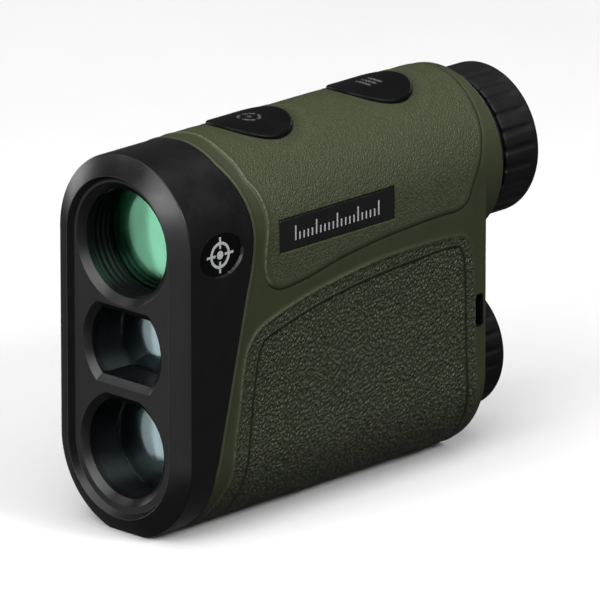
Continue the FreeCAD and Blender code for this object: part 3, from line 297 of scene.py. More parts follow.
def seam_arc():
    """Height, station and radius of the arc through the three upper points of the seam."""
    (a, p), (b, q), (c, r) = SEAM_BEND, SEAM_CROWN, SEAM_TOP
    matrix = np.array([[2 * (b - a), 2 * (q - p)], [2 * (c - a), 2 * (r - p)]])
    station, height = np.linalg.solve(matrix, (b * b - a * a + q * q - p * p, c * c - a * a + r * r - p * p))
    return height, station, math.hypot(a - station, p - height)


def girth_rows(spacing, extra=()):
    """Arc lengths of the grid rows over both sides, with chosen ones included."""
    steps = round(HALF_GIRTH / spacing)
    rows = np.linspace(0, HALF_GIRTH, steps + 1)
    extra = np.array(sorted(extra))
    rows = rows[[np.abs(extra - row).min() > spacing * 0.3 for row in rows]] if len(extra) else rows
    rows = np.unique(np.concatenate([[0, HALF_GIRTH], rows, extra]))
    return np.concatenate([-rows[:0:-1], rows])


def arc_of_height(z):
    """Arc length at a height on the side of the body."""
    if z > AXIS_UP:
        return BODY_RADIUS * math.acos((z - AXIS_UP) / BODY_RADIUS)
    if z < AXIS_LOW:
        return ARC + STRAIGHT + BODY_RADIUS * math.asin((AXIS_LOW - z) / BODY_RADIUS)
    return ARC + AXIS_UP - z


def smooth_outline(points, steps=8):
    """A closed smooth curve through the points."""
    points = np.array(points, float)
    curve = []
    for index in range(len(points)):
        p0, p1, p2, p3 = (points[(index + k) % len(points)] for k in (-1, 0, 1, 2))
        for t in np.arange(steps) / steps:
            curve.append(0.5 * (2 * p1 + (p2 - p0) * t + (2 * p0 - 5 * p1 + 4 * p2 - p3) * t ** 2
                                + (3 * p1 - p0 - 3 * p2 + p3) * t ** 3))
    return np.array(curve)


def signed_distance(outline, station, arc):
    """Distance to a closed outline, positive inside."""
    nearest = np.full(station.shape, 1e9)
    inside = np.zeros(station.shape, bool)
    for (x0, y0), (x1, y1) in zip(outline, np.roll(outline, -1, 0)):
        dx, dy = x1 - x0, y1 - y0
        px, py = station - x0, arc - y0
        t = np.clip((px * dx + py * dy) / (dx * dx + dy * dy + 1e-12), 0, 1)
        nearest = np.minimum(nearest, (px - t * dx) ** 2 + (py - t * dy) ** 2)
        if y0 != y1:
            crosses = (arc > min(y0, y1)) & (arc <= max(y0, y1))
            inside ^= crosses & (station < x0 + (arc - y0) * dx / (y1 - y0))
    return np.where(inside, 1, -1) * np.sqrt(nearest)


def sample_noise(points, scale, seed):
    """Smooth noise between about -1 and 1 at points in millimetres."""
    offset = Vector((seed, seed * 1.7, -seed))
    return np.array([noise.noise(Vector(point) * scale + offset) for point in points.tolist()])


# ---- materials

class Shader:
    """A material whose nodes are added one by one."""

    def __init__(self, name):
        self.material = bpy.data.materials.new(name)
        self.material.use_nodes = True
        self.tree = self.material.node_tree
        self.surface = self.tree.nodes["Principled BSDF"]
        coordinates = self.tree.nodes.new("ShaderNodeTexCoord")
        self.place = coordinates.outputs["Object"]

    def node(self, kind, inputs=(), **settings):
        made = self.tree.nodes.new("ShaderNode" + kind)
        for name, value in settings.items():
            setattr(made, name, value)
        for key, value in dict(inputs).items():
            if isinstance(value, bpy.types.NodeSocket):
                self.tree.links.new(value, made.inputs[key])
            else:
                made.inputs[key].default_value = value
        return made

    def math(self, operation, a, b=0.0, clamp=False):
        return self.node("Math", {0: a, 1: b}, operation=operation, use_clamp=clamp).outputs[0]

    def add(self, a, b, clamp=False):
        return self.math("ADD", a, b, clamp)

    def times(self, a, b):
        return self.math("MULTIPLY", a, b)

    def away(self, value, level):
        """How far a value lies from a level."""
        return self.math("ABSOLUTE", self.math("SUBTRACT", value, level))

    def noise(self, size, detail=2.0, roughness=0.5, stretch=None):
        """Noise whose features measure about this size in millimetres."""
        place = self.place
        if stretch:
            place = self.node("Mapping", {"Vector": place, "Scale": stretch}).outputs[0]
        return self.node("TexNoise", {"Vector": place, "Scale": 1 / (size * MM), "Detail": detail,
                                      "Roughness": roughness}).outputs["Fac"]

    def pebbles(self, size, turn, scale):
        """Rounded grains of about this size in millimetres with creases between them, 0 to 1."""
        waver = self.node("TexNoise", {"Vector": self.place, "Scale": 0.7 / (size * MM), "Detail": 1.0})
        shift = self.node("VectorMath", {0: waver.outputs["Color"], 1: (0.5, 0.5, 0.5)}, operation="SUBTRACT")
        shift = self.node("VectorMath", {0: shift.outputs[0], 1: (size * MM,) * 3}, operation="MULTIPLY")
        place = self.node("VectorMath", {0: self.place, 1: shift.outputs[0]}, operation="ADD").outputs[0]
        place = self.node("Mapping", {"Vector": place, "Rotation": turn, "Scale": scale},
                          vector_type="TEXTURE").outputs[0]
        edge, middle = (self.node("TexVoronoi", {"Vector": place, "Scale": 1 / (size * MM)}, feature=feature)
                        for feature in ("DISTANCE_TO_EDGE", "F1"))
        dome = self.fit(middle.outputs["Distance"], 0.0, 0.75, 1.0, 0.25)
        return self.times(dome, self.fit(edge.outputs["Distance"], 0.0, 0.16, 0.45, 1.0))

    def fit(self, value, low, high, to_low=0.0, to_high=1.0):
        return self.node("MapRange", {"Value": value, "From Min": low, "From Max": high,
                                      "To Min": to_low, "To Max": to_high}).outputs[0]

    def ramp(self, factor, *stops):
        """A colour ramp through (position, colour) stops."""
        made = self.node("ValToRGB", {"Fac": factor})
        elements = made.color_ramp.elements
        while len(elements) < len(stops):
            elements.new(0.5)
        for element, (position, colour) in zip(elements, stops):
            element.position = position
            element.color = (*colour, 1)
        return made.outputs["Color"]

    def mix(self, factor, a, b):
        ends = [value if isinstance(value, bpy.types.NodeSocket) else (*value, 1) for value in (a, b)]
        return self.node("Mix", {0: factor, 6: ends[0], 7: ends[1]}, data_type="RGBA").outputs[2]

    def attribute(self, name):
        return self.node("Attribute", attribute_name=name).outputs["Fac"]

    def bumps(self, *layers):
        """Chained bumps, each (height, distance in millimetres, strength)."""
        normal = None
        for height, distance, strength in layers:
            inputs = {"Height": height, "Distance": distance * MM, "Strength": strength}
            if normal is not None:
                inputs["Normal"] = normal
            normal = self.node("Bump", inputs).outputs["Normal"]
        self.link("Normal", normal)

    def gloss(self, source, low, high):
        """Roughness from low to high where the source noise is dark to light."""
        self.link("Roughness", self.fit(source, 0.3, 0.7, low, high))

    def link(self, socket, value):
        self.tree.links.new(value, self.surface.inputs[socket])

    def set(self, **values):
        for key, value in values.items():
            self.surface.inputs[key.replace("_", " ")].default_value = value


def toned(colour, share):
    """A colour made darker or lighter by a share of itself."""
    return [min(1.0, channel * share) for channel in colour]


def moulded(shader, colour, rough, grain, depth, specular=0.5, wear=0.25):
    """Moulded plastic or rubber: fine spark grain, uneven gloss, slightly uneven colour."""
    patches = shader.noise(6.0, 4.0, 0.6)
    fine = shader.noise(grain, 3.0, 0.6)
    tone = shader.add(shader.times(patches, 0.6), shader.times(fine, 0.4))
    shader.link("Base Color", shader.ramp(tone, (0.3, toned(colour, 1 - wear)),
                                          (0.7, toned(colour, 1 + wear))))
    shader.gloss(patches, rough - 0.06, rough + 0.06)
    shader.set(Specular_IOR_Level=specular)
    shader.bumps((fine, depth, 0.6))


def bezel_plastic(shader):
    """Satin black plastic, matt on the recessed face."""
    patches = shader.noise(6.0, 4.0, 0.6)
    spark = shader.noise(0.14, 3.0, 0.6)
    face = shader.attribute("face")
    tone = shader.add(shader.times(patches, 0.6), shader.times(spark, 0.4))
    shader.link("Base Color", shader.ramp(tone, (0.3, (0.004, 0.004, 0.0044)), (0.7, (0.005, 0.005, 0.0056))))
    satin = shader.fit(patches, 0.3, 0.7, 0.25, 0.36)
    shader.link("Roughness", shader.add(satin, shader.times(face, 0.45)))
    shader.bumps((spark, 0.015, 0.6))


def button_rubber(shader):
    """Black rubber whose moulded marks are rubbed lighter."""
    patches = shader.noise(5.0, 4.0, 0.6)
    fine = shader.noise(0.16, 3.0, 0.6)
    rubbed = shader.times(shader.attribute("mark"), shader.fit(shader.noise(0.35, 3.0, 0.7), 0.4, 0.6))
    black = shader.ramp(patches, (0.3, (0.0018, 0.0018, 0.002)), (0.7, (0.003, 0.003, 0.0033)))
    shader.link("Base Color", shader.mix(rubbed, black, (0.16, 0.16, 0.165)))
    shader.gloss(patches, 0.36, 0.48)
    shader.set(Specular_IOR_Level=0.15)
    shader.bumps((fine, 0.02, 0.6))


def metal(shader, colour, rough):
    """Turned or drawn metal with fine tool marks and stains."""
    lines = shader.noise(0.4, 3.0, 0.7)
    stains = shader.noise(3.0, 3.0, 0.6)
    shader.link("Base Color", shader.ramp(stains, (0.3, toned(colour, 0.85)), (0.7, colour)))
    shader.gloss(lines, rough - 0.08, rough + 0.1)
    shader.set(Metallic=1.0)
    shader.bumps((lines, 0.02, 0.3))


def anodised(shader, colour, rough):
    """Black anodised aluminium with fine turning rings."""
    rings = shader.noise(0.5, 2.0, 0.6, (0.1, 2.0, 0.1))
    stains = shader.noise(4.0, 3.0, 0.6)
    shader.link("Base Color", shader.ramp(stains, (0.3, toned(colour, 0.8)), (0.7, toned(colour, 1.3))))
    shader.gloss(rings, rough - 0.05, rough + 0.08)
    shader.set(Specular_IOR_Level=0.6)
    shader.bumps((rings, 0.03, 0.4))


def glass(shader, colour, index, transmission=1.0, coating=0.0, ring=0.66):
    """Polished glass with the faintest smear, a lighter ring painted in as the reflection of the inner lens
    faces and the colour darker outside it; the coating reflects the glass's own colour.
    """
    smear = shader.noise(5.0, 4.0, 0.6)
    radial = shader.attribute("radial")
    # Painted reflection of the inner lens faces: a lighter ring at the ring radius, the colour darker outside
    # it.
    edge = shader.fit(shader.away(radial, ring), 0.0, 0.02, 0.5, 0.0)
    outer = shader.fit(radial, ring, ring + 0.05, 0.0, 0.35)
    tone = shader.add(shader.math("SUBTRACT", shader.times(smear, 0.3), outer), edge)
    rough = (0.12, 0.17) if coating else (0.02, 0.05)
    shader.link("Roughness", shader.fit(smear, 0.35, 0.75, *rough))
    shader.link("Base Color", shader.ramp(tone, (0.0, toned(colour, 0.72)), (0.15, colour),
                                          (0.6, toned(colour, 1.25))))
    shader.set(Transmission_Weight=transmission, IOR=index, Metallic=coating)


def board(shader, colour, track):
    """Solder mask over copper tracks."""
    tracks = shader.node("TexBrick", {"Vector": shader.place, "Scale": 1 / (2.2 * MM), "Color1": (1, 1, 1, 1),
                                      "Color2": (0.6, 0.6, 0.6, 1), "Mortar": (0, 0, 0, 1),
                                      "Mortar Size": 0.08}).outputs["Color"]
    shader.link("Base Color", shader.mix(tracks, track, colour))
    shader.gloss(shader.noise(1.5), 0.25, 0.4)
    shader.bumps((tracks, 0.03, 0.4))


ARMOUR_DARK = (0.0345, 0.0405, 0.018)
ARMOUR_LIGHT = (0.063, 0.074, 0.036)
# Lighter green painted as highlight on the crests and on the pebble tops.
ARMOUR_HIGHLIGHT = (0.125, 0.142, 0.078)
GRAIN_TURN = (0.85, 0.0, 0.0)
GRIP_GROOVE = -0.05


def armour_rubber(shader):
    """Green rubber: smooth margins, fine leather grain on the upper panel, coarse pebble on the grip; painted
    shade in the low relief, the creases and the grooves, painted highlights on the grain tops and along the
    crests.
    """
    panel = shader.attribute("panel")
    band = shader.attribute("band")
    grip = shader.attribute("grip")
    height = shader.attribute("relief")
    pebble_mask = shader.math("MAXIMUM", shader.fit(grip, 0.1, 0.8), shader.fit(band, 0.2, 1.0, 0.0, 0.85))
    grip_line = shader.away(grip, GRIP_GROOVE)
    pebble_mask = shader.times(pebble_mask, shader.fit(grip_line, 0.2, 0.5))
    panel_line = shader.math("MAXIMUM", shader.fit(shader.away(panel, 0.0), 0.05, 0.25),
                             shader.attribute("front"))
    groove = shader.math("MINIMUM", shader.fit(grip_line, 0.12, 0.32), panel_line)
    leather = shader.times(shader.pebbles(0.5, GRAIN_TURN, (1.0, 1.5, 0.85)), shader.fit(panel, 0.3, 2.0))
    pebble = shader.pebbles(0.6, GRAIN_TURN, (1.0, 1.6, 0.9))
    shown_pebble = shader.times(pebble, pebble_mask)
    micro = shader.noise(0.12, 2.0, 0.6)
    patches = shader.noise(9.0, 4.0, 0.6)
    grain = shader.math("MAXIMUM", shown_pebble, leather)
    # Painted shade and highlight: darker where the relief lies low, lighter on the grain domes.
    tone = shader.add(shader.times(patches, 0.35), shader.fit(height, -0.45, 0.0, 0.0, 0.3), clamp=True)
    tone = shader.add(tone, shader.times(grain, 0.4), clamp=True)
    green = shader.ramp(tone, (0.1, ARMOUR_DARK), (0.9, ARMOUR_LIGHT))
    # Painted highlight along the crests, made patchy by noise.
    rubbed = shader.fit(shader.noise(0.5, 3.0, 0.6), 0.35, 0.6)
    crest = shader.times(shader.fit(shader.attribute("crest"), 0.3, 0.9), rubbed)
    green = shader.mix(crest, green, ARMOUR_HIGHLIGHT)
    # Painted shade: the creases between the pebbles darkened.
    crease_shade = shader.fit(shader.times(shader.math("SUBTRACT", 0.62, pebble), pebble_mask), 0.0, 0.45)
    green = shader.mix(shader.times(crease_shade, 0.55), green, toned(ARMOUR_DARK, 0.4))
    # Painted highlight: the pebble tops lightened.
    top = shader.fit(shown_pebble, 0.55, 0.85)
    green = shader.mix(shader.times(top, 0.85), green, ARMOUR_HIGHLIGHT)
    # Painted shade: the groove lines darkened.
    shader.link("Base Color", shader.mix(groove, toned(ARMOUR_DARK, 0.4), green))
    shader.gloss(shader.noise(2.0, 3.0), 0.4, 0.52)
    shader.set(Specular_IOR_Level=0.37)
    shader.bumps((micro, 0.02, 0.4), (leather, 0.2, 0.8), (shown_pebble, 0.6, 1.0), (groove, 0.12, 0.8))


def printed_mark(shader, colour):
    """Printed or moulded-in light marking, slightly worn."""
    worn = shader.noise(0.6, 4.0, 0.7)
    shader.link("Base Color", shader.ramp(worn, (0.25, toned(colour, 0.7)), (0.5, colour)))
    shader.gloss(worn, 0.4, 0.55)
    shader.bumps((worn, 0.01, 0.3))


# recipe, name, colour, then what the recipe takes after its colour
RECIPES = (
    (armour_rubber, "armour_rubber"),
    (bezel_plastic, "bezel_plastic"),
    (moulded, "badge_plastic", (0.0018, 0.0018, 0.002), 0.2, 0.6, 0.01, 0.25, 0.1),
    (moulded, "nameplate_plastic", (0.008, 0.008, 0.0088), 0.42, 0.16, 0.02, 0.4, 0.15),
    (moulded, "chassis_plastic", (0.008, 0.008, 0.008), 0.6, 0.2, 0.03, 0.3),
    (button_rubber, "button_rubber"),
    (moulded, "keypad_rubber", (0.12, 0.12, 0.12), 0.6, 0.3, 0.03),
    (moulded, "seal_rubber", (0.01, 0.01, 0.01), 0.6, 0.3, 0.03),
    (metal, "screw_steel", (0.45, 0.45, 0.46), 0.3),
    (metal, "spring_steel", (0.5, 0.5, 0.5), 0.25),
    (metal, "switch_steel", (0.55, 0.55, 0.55), 0.25),
    (metal, "contact_nickel", (0.6, 0.59, 0.56), 0.25),
    (metal, "can_brass", (0.7, 0.55, 0.25), 0.3),
    (anodised, "barrel_aluminium", (0.004, 0.004, 0.0045), 0.32),
    (anodised, "stop_metal", (0.012, 0.012, 0.012), 0.5),
    (glass, "lens_glass", (0.5, 0.56, 0.54), 1.5),
    (glass, "green_coated_glass", (0.16, 0.5, 0.31), 1.5, 1.0, 0.42, 0.8),
    (glass, "blue_coated_glass", (0.27, 0.37, 0.39), 1.5, 1.0, 0.35, 0.62),
    (glass, "eye_glass", (0.5, 0.42, 0.62), 1.55, 1.0, 0.1),
    (glass, "prism_glass", (0.9, 0.94, 0.95), 1.52),
    (glass, "filter_glass", (0.3, 0.02, 0.03), 1.5, 0.7),
    (glass, "display_glass", (0.7, 0.75, 0.75), 1.5, 0.8),
    (moulded, "eyepiece_plastic", (0.006, 0.006, 0.0066), 0.4, 0.16, 0.02, 0.45, 0.15),
    (moulded, "eyecup_rubber", (0.0055, 0.0055, 0.0052), 0.5, 0.2, 0.03, 0.3, 0.2),
    (moulded, "cap_plastic", (0.004, 0.004, 0.0042), 0.5, 0.18, 0.03, 0.22, 0.15),
    (moulded, "battery_wrap", (0.1, 0.2, 0.4), 0.3, 0.5, 0.01),
    (board, "circuit_board", (0.02, 0.12, 0.05), (0.04, 0.2, 0.08)),
    (moulded, "chip_plastic", (0.02, 0.02, 0.02), 0.45, 0.1, 0.02),
    (board, "flex_film", (0.5, 0.25, 0.05), (0.6, 0.35, 0.12)),
)


def made_from(recipe, name, *settings):
    """A new material filled by its recipe."""
    shader = Shader(name)
    recipe(shader, *settings)
    return shader.material


MATERIALS = {name: made_from(recipe, name, *settings) for recipe, name, *settings in RECIPES}
LIGHT_MARK = made_from(printed_mark, "light_mark", (0.55, 0.56, 0.57))


def dress_part():
    """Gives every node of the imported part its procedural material."""
    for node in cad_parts.values():
        for index, held in enumerate(node.material_slots):
            slot = held.material.name.split(".")[0]
            node.data.materials[index] = MATERIALS[slot]


# ---- armour

# outlines of the panels as (station, arc length); they run off the skin at the top and under the foot
UPPER_PANEL = (
    (20.9, -6.0), (20.9, -0.3), (20.4, 6.9), (20.8, 11.9), (21.0, 15.6), (22.1, 18.1), (22.8, 21.2),
    (23.0, 24.7), (22.6, 27.5), (22.1, 31.1), (22.1, 34.1), (23.0, 36.7), (25.3, 38.4), (28.0, 38.8),
    (34.4, 38.1), (43.5, 36.3), (52.7, 35.1), (62.0, 34.4), (71.3, 34.0), (76.1, 34.0), (78.9, 32.8),
    (80.3, 30.0), (83.0, 24.3), (84.6, 19.6), (85.5, 15.0), (86.2, 10.0), (86.9, 5.0), (87.2, 0.0),
    (87.2, -6.0))
GRIP_BAND = (
    (10.2, 110.0), (10.2, 92.1), (10.6, 85.4), (11.2, 81.1), (12.3, 77.8), (13.2, 74.3), (13.6, 69.0),
    (14.2, 64.2), (14.9, 60.7), (16.3, 51.5), (18.2, 47.4), (21.5, 44.8), (28.6, 42.6), (38.3, 40.6),
    (51.6, 38.9), (64.8, 38.5), (75.6, 38.9), (79.0, 40.2), (80.4, 43.0), (81.0, 46.2), (81.3, 53.3),
    (81.6, 60.6), (82.0, 67.8), (82.6, 74.6), (83.1, 82.0), (83.2, 92.1), (83.2, 110.0))
GRIP_PANEL = (
    (17.4, 110.0), (17.4, 97.0), (17.4, 85.0), (17.5, 79.0), (17.6, 75.0), (17.9, 69.0), (18.6, 63.0),
    (19.0, 59.4), (20.3, 52.0), (21.4, 49.0), (24.3, 47.2), (38.3, 43.9), (51.6, 42.2), (64.8, 41.3),
    (74.6, 41.1), (77.2, 42.4), (78.0, 46.5), (78.3, 54.0), (78.6, 66.1), (79.6, 74.6), (80.6, 82.2),
    (81.0, 92.0), (81.0, 110.0))
# levels of the armour's surface, in millimetres above its outermost; the margins lie lowest
MARGIN_LEVEL = -0.34
TOP_LEVEL = -0.005
FRONT_LEVEL = -0.1
PANEL_RISE = 0.22
PANEL_RIDGE = 0.12
PANEL_GROOVE = 0.16
BAND_RISE = 0.16
BAND_RIDGE = 0.1
GRIP_LINE = 0.13
PEBBLE_RISE = 0.1
LEATHER_RISE = 0.035
DISH_DEPTH = 0.5
LIP_RISE = 0.24
HOLE_RIM_RISE = 0.07
FINE_STEP = 0.31
BLEND_END = 23.0
SEAM_GAP = 0.2
SEAT_WALL = 0.03
PIT_DEPTH = 1.5
FAR_OUTSIDE = 5.0
SNAP = 0.01


def front_share(station, arc):
    """1 along the front edge of the upper panel, a ridge, and 0 along its other edges, a groove."""
    return smoothstep(27.0, 24.0, station) * smoothstep(38.5, 36.5, arc)


def crest_highlight_line(station, arc, panel, band, grip):
    """1 along the crests at the front of the panels, where a highlight is painted; 0 away from them."""
    ahead = smoothstep(62.0, 45.0, station) * smoothstep(97.0, 88.0, arc)
    line = front_share(station, arc) * bump(panel, 0.3, 0.3)
    line = np.maximum(line, ahead * bump(band, 0.3, 0.3))
    return np.maximum(line, 0.6 * ahead * bump(grip, -0.5, 0.25))


def armour_relief(station, arc, points, panel, band, grip):
    """Height of the armour surface below its outermost level, in millimetres."""
    front = front_share(station, arc)
    relief = MARGIN_LEVEL + PANEL_RISE * smoothstep(-0.4, 0.5, panel)
    relief += PANEL_RIDGE * front * bump(panel, 0.3, 0.32)
    relief -= PANEL_GROOVE * (1 - front) * bump(panel, 0.0, 0.4)
    ridge = smoothstep(75.0, 60.0, station) * smoothstep(97.0, 88.0, arc)
    relief += BAND_RISE * smoothstep(-0.5, 0.5, band)
    relief += (0.04 + BAND_RIDGE * ridge) * bump(band, 0.3, 0.35)
    relief -= GRIP_LINE * bump(grip, 0.0, 0.35)
    grain = np.maximum(smoothstep(0.2, 1.0, grip), 0.6 * smoothstep(0.4, 1.2, band))
    grain *= smoothstep(FOOT_ARC + 1.5, FOOT_ARC - 1.5, arc)
    leather = sample_noise(points * (1.0, 1.2, 0.9), 1 / 0.95, 14.0)
    return relief + grain * pebble_relief(points) + LEATHER_RISE * smoothstep(0.4, 1.6, panel) * leather


def pebble_relief(points):
    """Coarse grain of the grip, drawn out along a slant, from two sizes of noise."""
    stretched = points * (1.0, 0.82, 0.82)
    stretched[:, 1] += points[:, 2] * 0.35
    coarse = sample_noise(stretched, 1 / 0.78, 3.0)
    fine = sample_noise(stretched, 1 / 0.5, 8.0)
    return PEBBLE_RISE * np.clip(coarse * 1.6 + fine * 0.4, -0.5, 0.7) - 0.02


def button_surround(station, x, relief):
    """Dishes the armour round each button and raises a soft lip behind it."""
    for centre in BUTTON_STATIONS.values():
        reach = np.hypot(station - centre, x)
        behind = smoothstep(-6.0, 7.0, station - centre)
        dish = smoothstep(HOLE_RADIUS + 3.0, HOLE_RADIUS, reach)
        relief = relief * (1 - 0.8 * dish) - DISH_DEPTH * dish * (0.35 + 0.65 * behind)
        relief += LIP_RISE * behind * bump(reach, HOLE_RADIUS + 3.2, 0.6)
        relief += HOLE_RIM_RISE * bump(reach, HOLE_RADIUS + 0.35, 0.22)
    return relief


def armour():
    """The green skin: left and right pieces of the outer surface, then everything at the rear."""
    plate_rows = [arc_of_height(PLATE.height + side * (PLATE.half_tall + SEAT_GAP)) for side in (1, -1)]
    slot_rows = [arc_of_height(SLOT.height + side * SLOT.half_tall) for side in (1, -1)]
    plate_edges = [PLATE.station + side * (PLATE.half_long + SEAT_GAP) for side in (-1, 1)]
    slot_edges = [SLOT.station - SLOT.half_long, SLOT.station + SLOT.half_long]
    rows = girth_rows(FINE_STEP, [plate_rows[0], plate_rows[0] + SEAT_WALL, plate_rows[1] - SEAT_WALL,
                                  plate_rows[1], *slot_rows, ARC, FOOT_ARC])
    start = seam(section(rows, BODY_RADIUS, 0.0)[1]) + SEAM_GAP
    blended = np.linspace(0, 1, 34)[:-1]
    fixed = [plate_edges[0], plate_edges[0] + SEAT_WALL, plate_edges[1] - SEAT_WALL, plate_edges[1],
             *slot_edges, GRIP_END - REAR_ROUND, TUBE_END - REAR_ROUND]
    fine = np.arange(BLEND_END, TUBE_END - REAR_ROUND, FINE_STEP)
    fine = fine[[min(abs(value - edge) for edge in fixed) > FINE_STEP * 0.35 for value in fine]]
    fine = np.unique(np.concatenate([fine, fixed]))
    station = np.concatenate([start[:, None] + blended[None, :] * (BLEND_END - start)[:, None],
                              np.repeat(fine[None, :], len(rows), 0)], 1)
    arc = np.repeat(rows[:, None], station.shape[1], 1)
    grip_column = len(blended) + int(np.searchsorted(fine, GRIP_END - REAR_ROUND - 1e-6))
    armour_skin(station, arc, plate_rows, plate_edges, grip_column)
    armour_rear(rows[np.abs(rows) >= ARC - 1e-6])
    slot_liner()


def surface_points(station, arc, relief):
    """Points on the body at a station and arc length, moved outward by the relief."""
    x, z, nx, nz = section(arc.ravel(), BODY_RADIUS, 0.0)
    rise = relief.ravel()
    return np.stack([x + nx * rise, station.ravel(), z + nz * rise], 1)


def grid_normals(points, rows, columns):
    """Vertex normals of a grid from its neighbours, pointing away from the inside."""
    grid = points.reshape(rows, columns, 3)
    normal = np.cross(np.gradient(grid, axis=1), np.gradient(grid, axis=0))
    normal /= np.linalg.norm(normal, axis=2, keepdims=True) + 1e-12
    return normal.reshape(-1, 3)


def cut_button_holes(station, arc):
    """Snaps the grid to the button holes; also returns which points fall inside them."""
    inside = np.zeros(arc.shape, bool)
    top = np.abs(arc) < ARC
    for centre in BUTTON_STATIONS.values():
        across = section(arc.ravel(), BODY_RADIUS, 0.0)[0].reshape(arc.shape)
        along = station - centre
        reach = np.hypot(along, across)
        near = top & (np.abs(reach - HOLE_RADIUS) < FINE_STEP * 0.55)
        scale = HOLE_RADIUS / np.maximum(reach, 1e-6)
        station = np.where(near, centre + along * scale, station)
        turned = BODY_RADIUS * np.arcsin(np.clip(across * scale / BODY_RADIUS, -1, 1))
        arc = np.where(near, turned, arc)
        inside |= top & ~near & (reach < HOLE_RADIUS)
    return station, arc, inside


def cut_slot(station, arc):
    """Snaps the grid to the round-ended slot; also returns which points fall inside it."""
    middle = arc_of_height(SLOT.height)
    straight = SLOT.half_tall - SLOT.half_long
    beyond = arc - middle - np.clip(arc - middle, -straight, straight)
    along = station - SLOT.station
    reach = np.hypot(along, beyond)
    near = np.abs(reach - SLOT.half_long) < FINE_STEP * 0.55
    scale = SLOT.half_long / np.maximum(reach, 1e-6)
    moved_station = np.where(near, SLOT.station + along * scale, station)
    moved_arc = np.where(near, arc - beyond + beyond * scale, arc)
    return moved_station, moved_arc, ~near & (reach < SLOT.half_long)


def armour_skin(station, arc, plate_rows, plate_edges, grip_column):
    """The outer surface; below the tube it ends at the grip's rear face, above it runs on to the tube's."""
    rows, columns = station.shape
    station, arc, pits = cut_button_holes(station, arc)
    station, arc, slot = cut_slot(station, arc)
    along, half = station.ravel(), np.abs(arc).ravel()
    fields = {layer: signed_distance(smooth_outline(outline), along, half) for layer, outline in
              (("panel", UPPER_PANEL), ("band", GRIP_BAND), ("grip", GRIP_PANEL))}
    base = surface_points(station, arc, np.zeros(arc.shape))
    relief = button_surround(along, base[:, 0], armour_relief(along, half, base, **fields))
    relief = front_edge(along - np.repeat(station[:, 0], columns), relief)
    relief = np.where(half > FOOT_ARC, 0, relief)
    relief = np.where(pits.ravel(), -PIT_DEPTH, relief)
    relief = np.minimum(relief, TOP_LEVEL)
    points = surface_points(station, arc, relief)
    seat = ((half > plate_rows[0] + SNAP) & (half < plate_rows[1] - SNAP)
            & (along > plate_edges[0] + SNAP) & (along < plate_edges[1] - SNAP))
    points[seat, 0] = np.sign(points[seat, 0]) * PLATE_SEAT
    fields.update(crest=crest_highlight_line(along, half, **fields), relief=relief, front=front_share(along, half))
    quads = grid_faces(rows, columns)
    low = half > ARC + 1e-6
    beyond_grip = np.tile(np.arange(columns) > grip_column, rows)
    keep = ~(low[quads].any(1) & beyond_grip[quads].any(1)) & ~slot.ravel()[quads].any(1)
    skin_halves(points, grid_normals(points, rows, columns), quads[keep], (rows // 2 + 1) * columns, fields)


def front_edge(edge, relief):
    """Brings the relief to one level near the front edge and rounds it; edge is the distance behind it."""
    level = FRONT_LEVEL + (relief - FRONT_LEVEL) * smoothstep(0.3, 1.2, edge)
    return np.where(edge < 1.2, level, relief) - 0.3 * smoothstep(0.4, 0.0, edge) ** 2


def skin_halves(points, normals, quads, left_start, fields):
    """Splits the skin into a right and a left piece; the left one's own points start at left_start."""
    right = quads.max(1) < left_start
    for name, chosen in (("armour_right", right), ("armour_left", ~right)):
        used, faces = np.unique(quads[chosen], return_inverse=True)
        make_piece(name, points[used], faces.reshape(-1, 4), MATERIALS["armour_rubber"], "housing",
                   ("armour",), normals=normals[used],
                   layers={key: value[used] for key, value in fields.items()})


def armour_rear(rows):
    """Rounded rear rim and flat rear face of the grip, and the end of the tube round the eyepiece."""
    build = Builder()
    rear_face(build, rear_rim(build, np.concatenate([rows[rows > 0], rows[rows < 0][1:]])))
    tube_end(build)
    layers = {"relief": MARGIN_LEVEL, "front": 1.0, **dict.fromkeys(("panel", "band", "grip"), -FAR_OUTSIDE)}
    layers = {name: np.full(len(build.points), value) for name, value in layers.items()}
    # Painted highlight along the rear rim of the tube.
    layers["crest"] = 0.8 * bump(np.array(build.points)[:, 1], TUBE_END - 0.15, 0.25)
    build.finish("armour_rear", "armour_rubber", "housing", ("armour",), layers=layers)


def rear_rim(build, rows):
    """The rounded edge round the grip's rear face; returns its last ring."""
    rings = []
    for turn in np.linspace(0, QUARTER, 5):
        inset = MARGIN_LEVEL - REAR_ROUND * (1 - np.cos(turn))
        level = np.where(np.abs(rows) > FOOT_ARC, inset - MARGIN_LEVEL, inset)
        station = GRIP_END - REAR_ROUND + REAR_ROUND * np.sin(turn)
        rings.append(build.ring(surface_points(np.full(rows.shape, station), rows, level)))
    build.loft(rings, closed=False)
    return rings[-1]


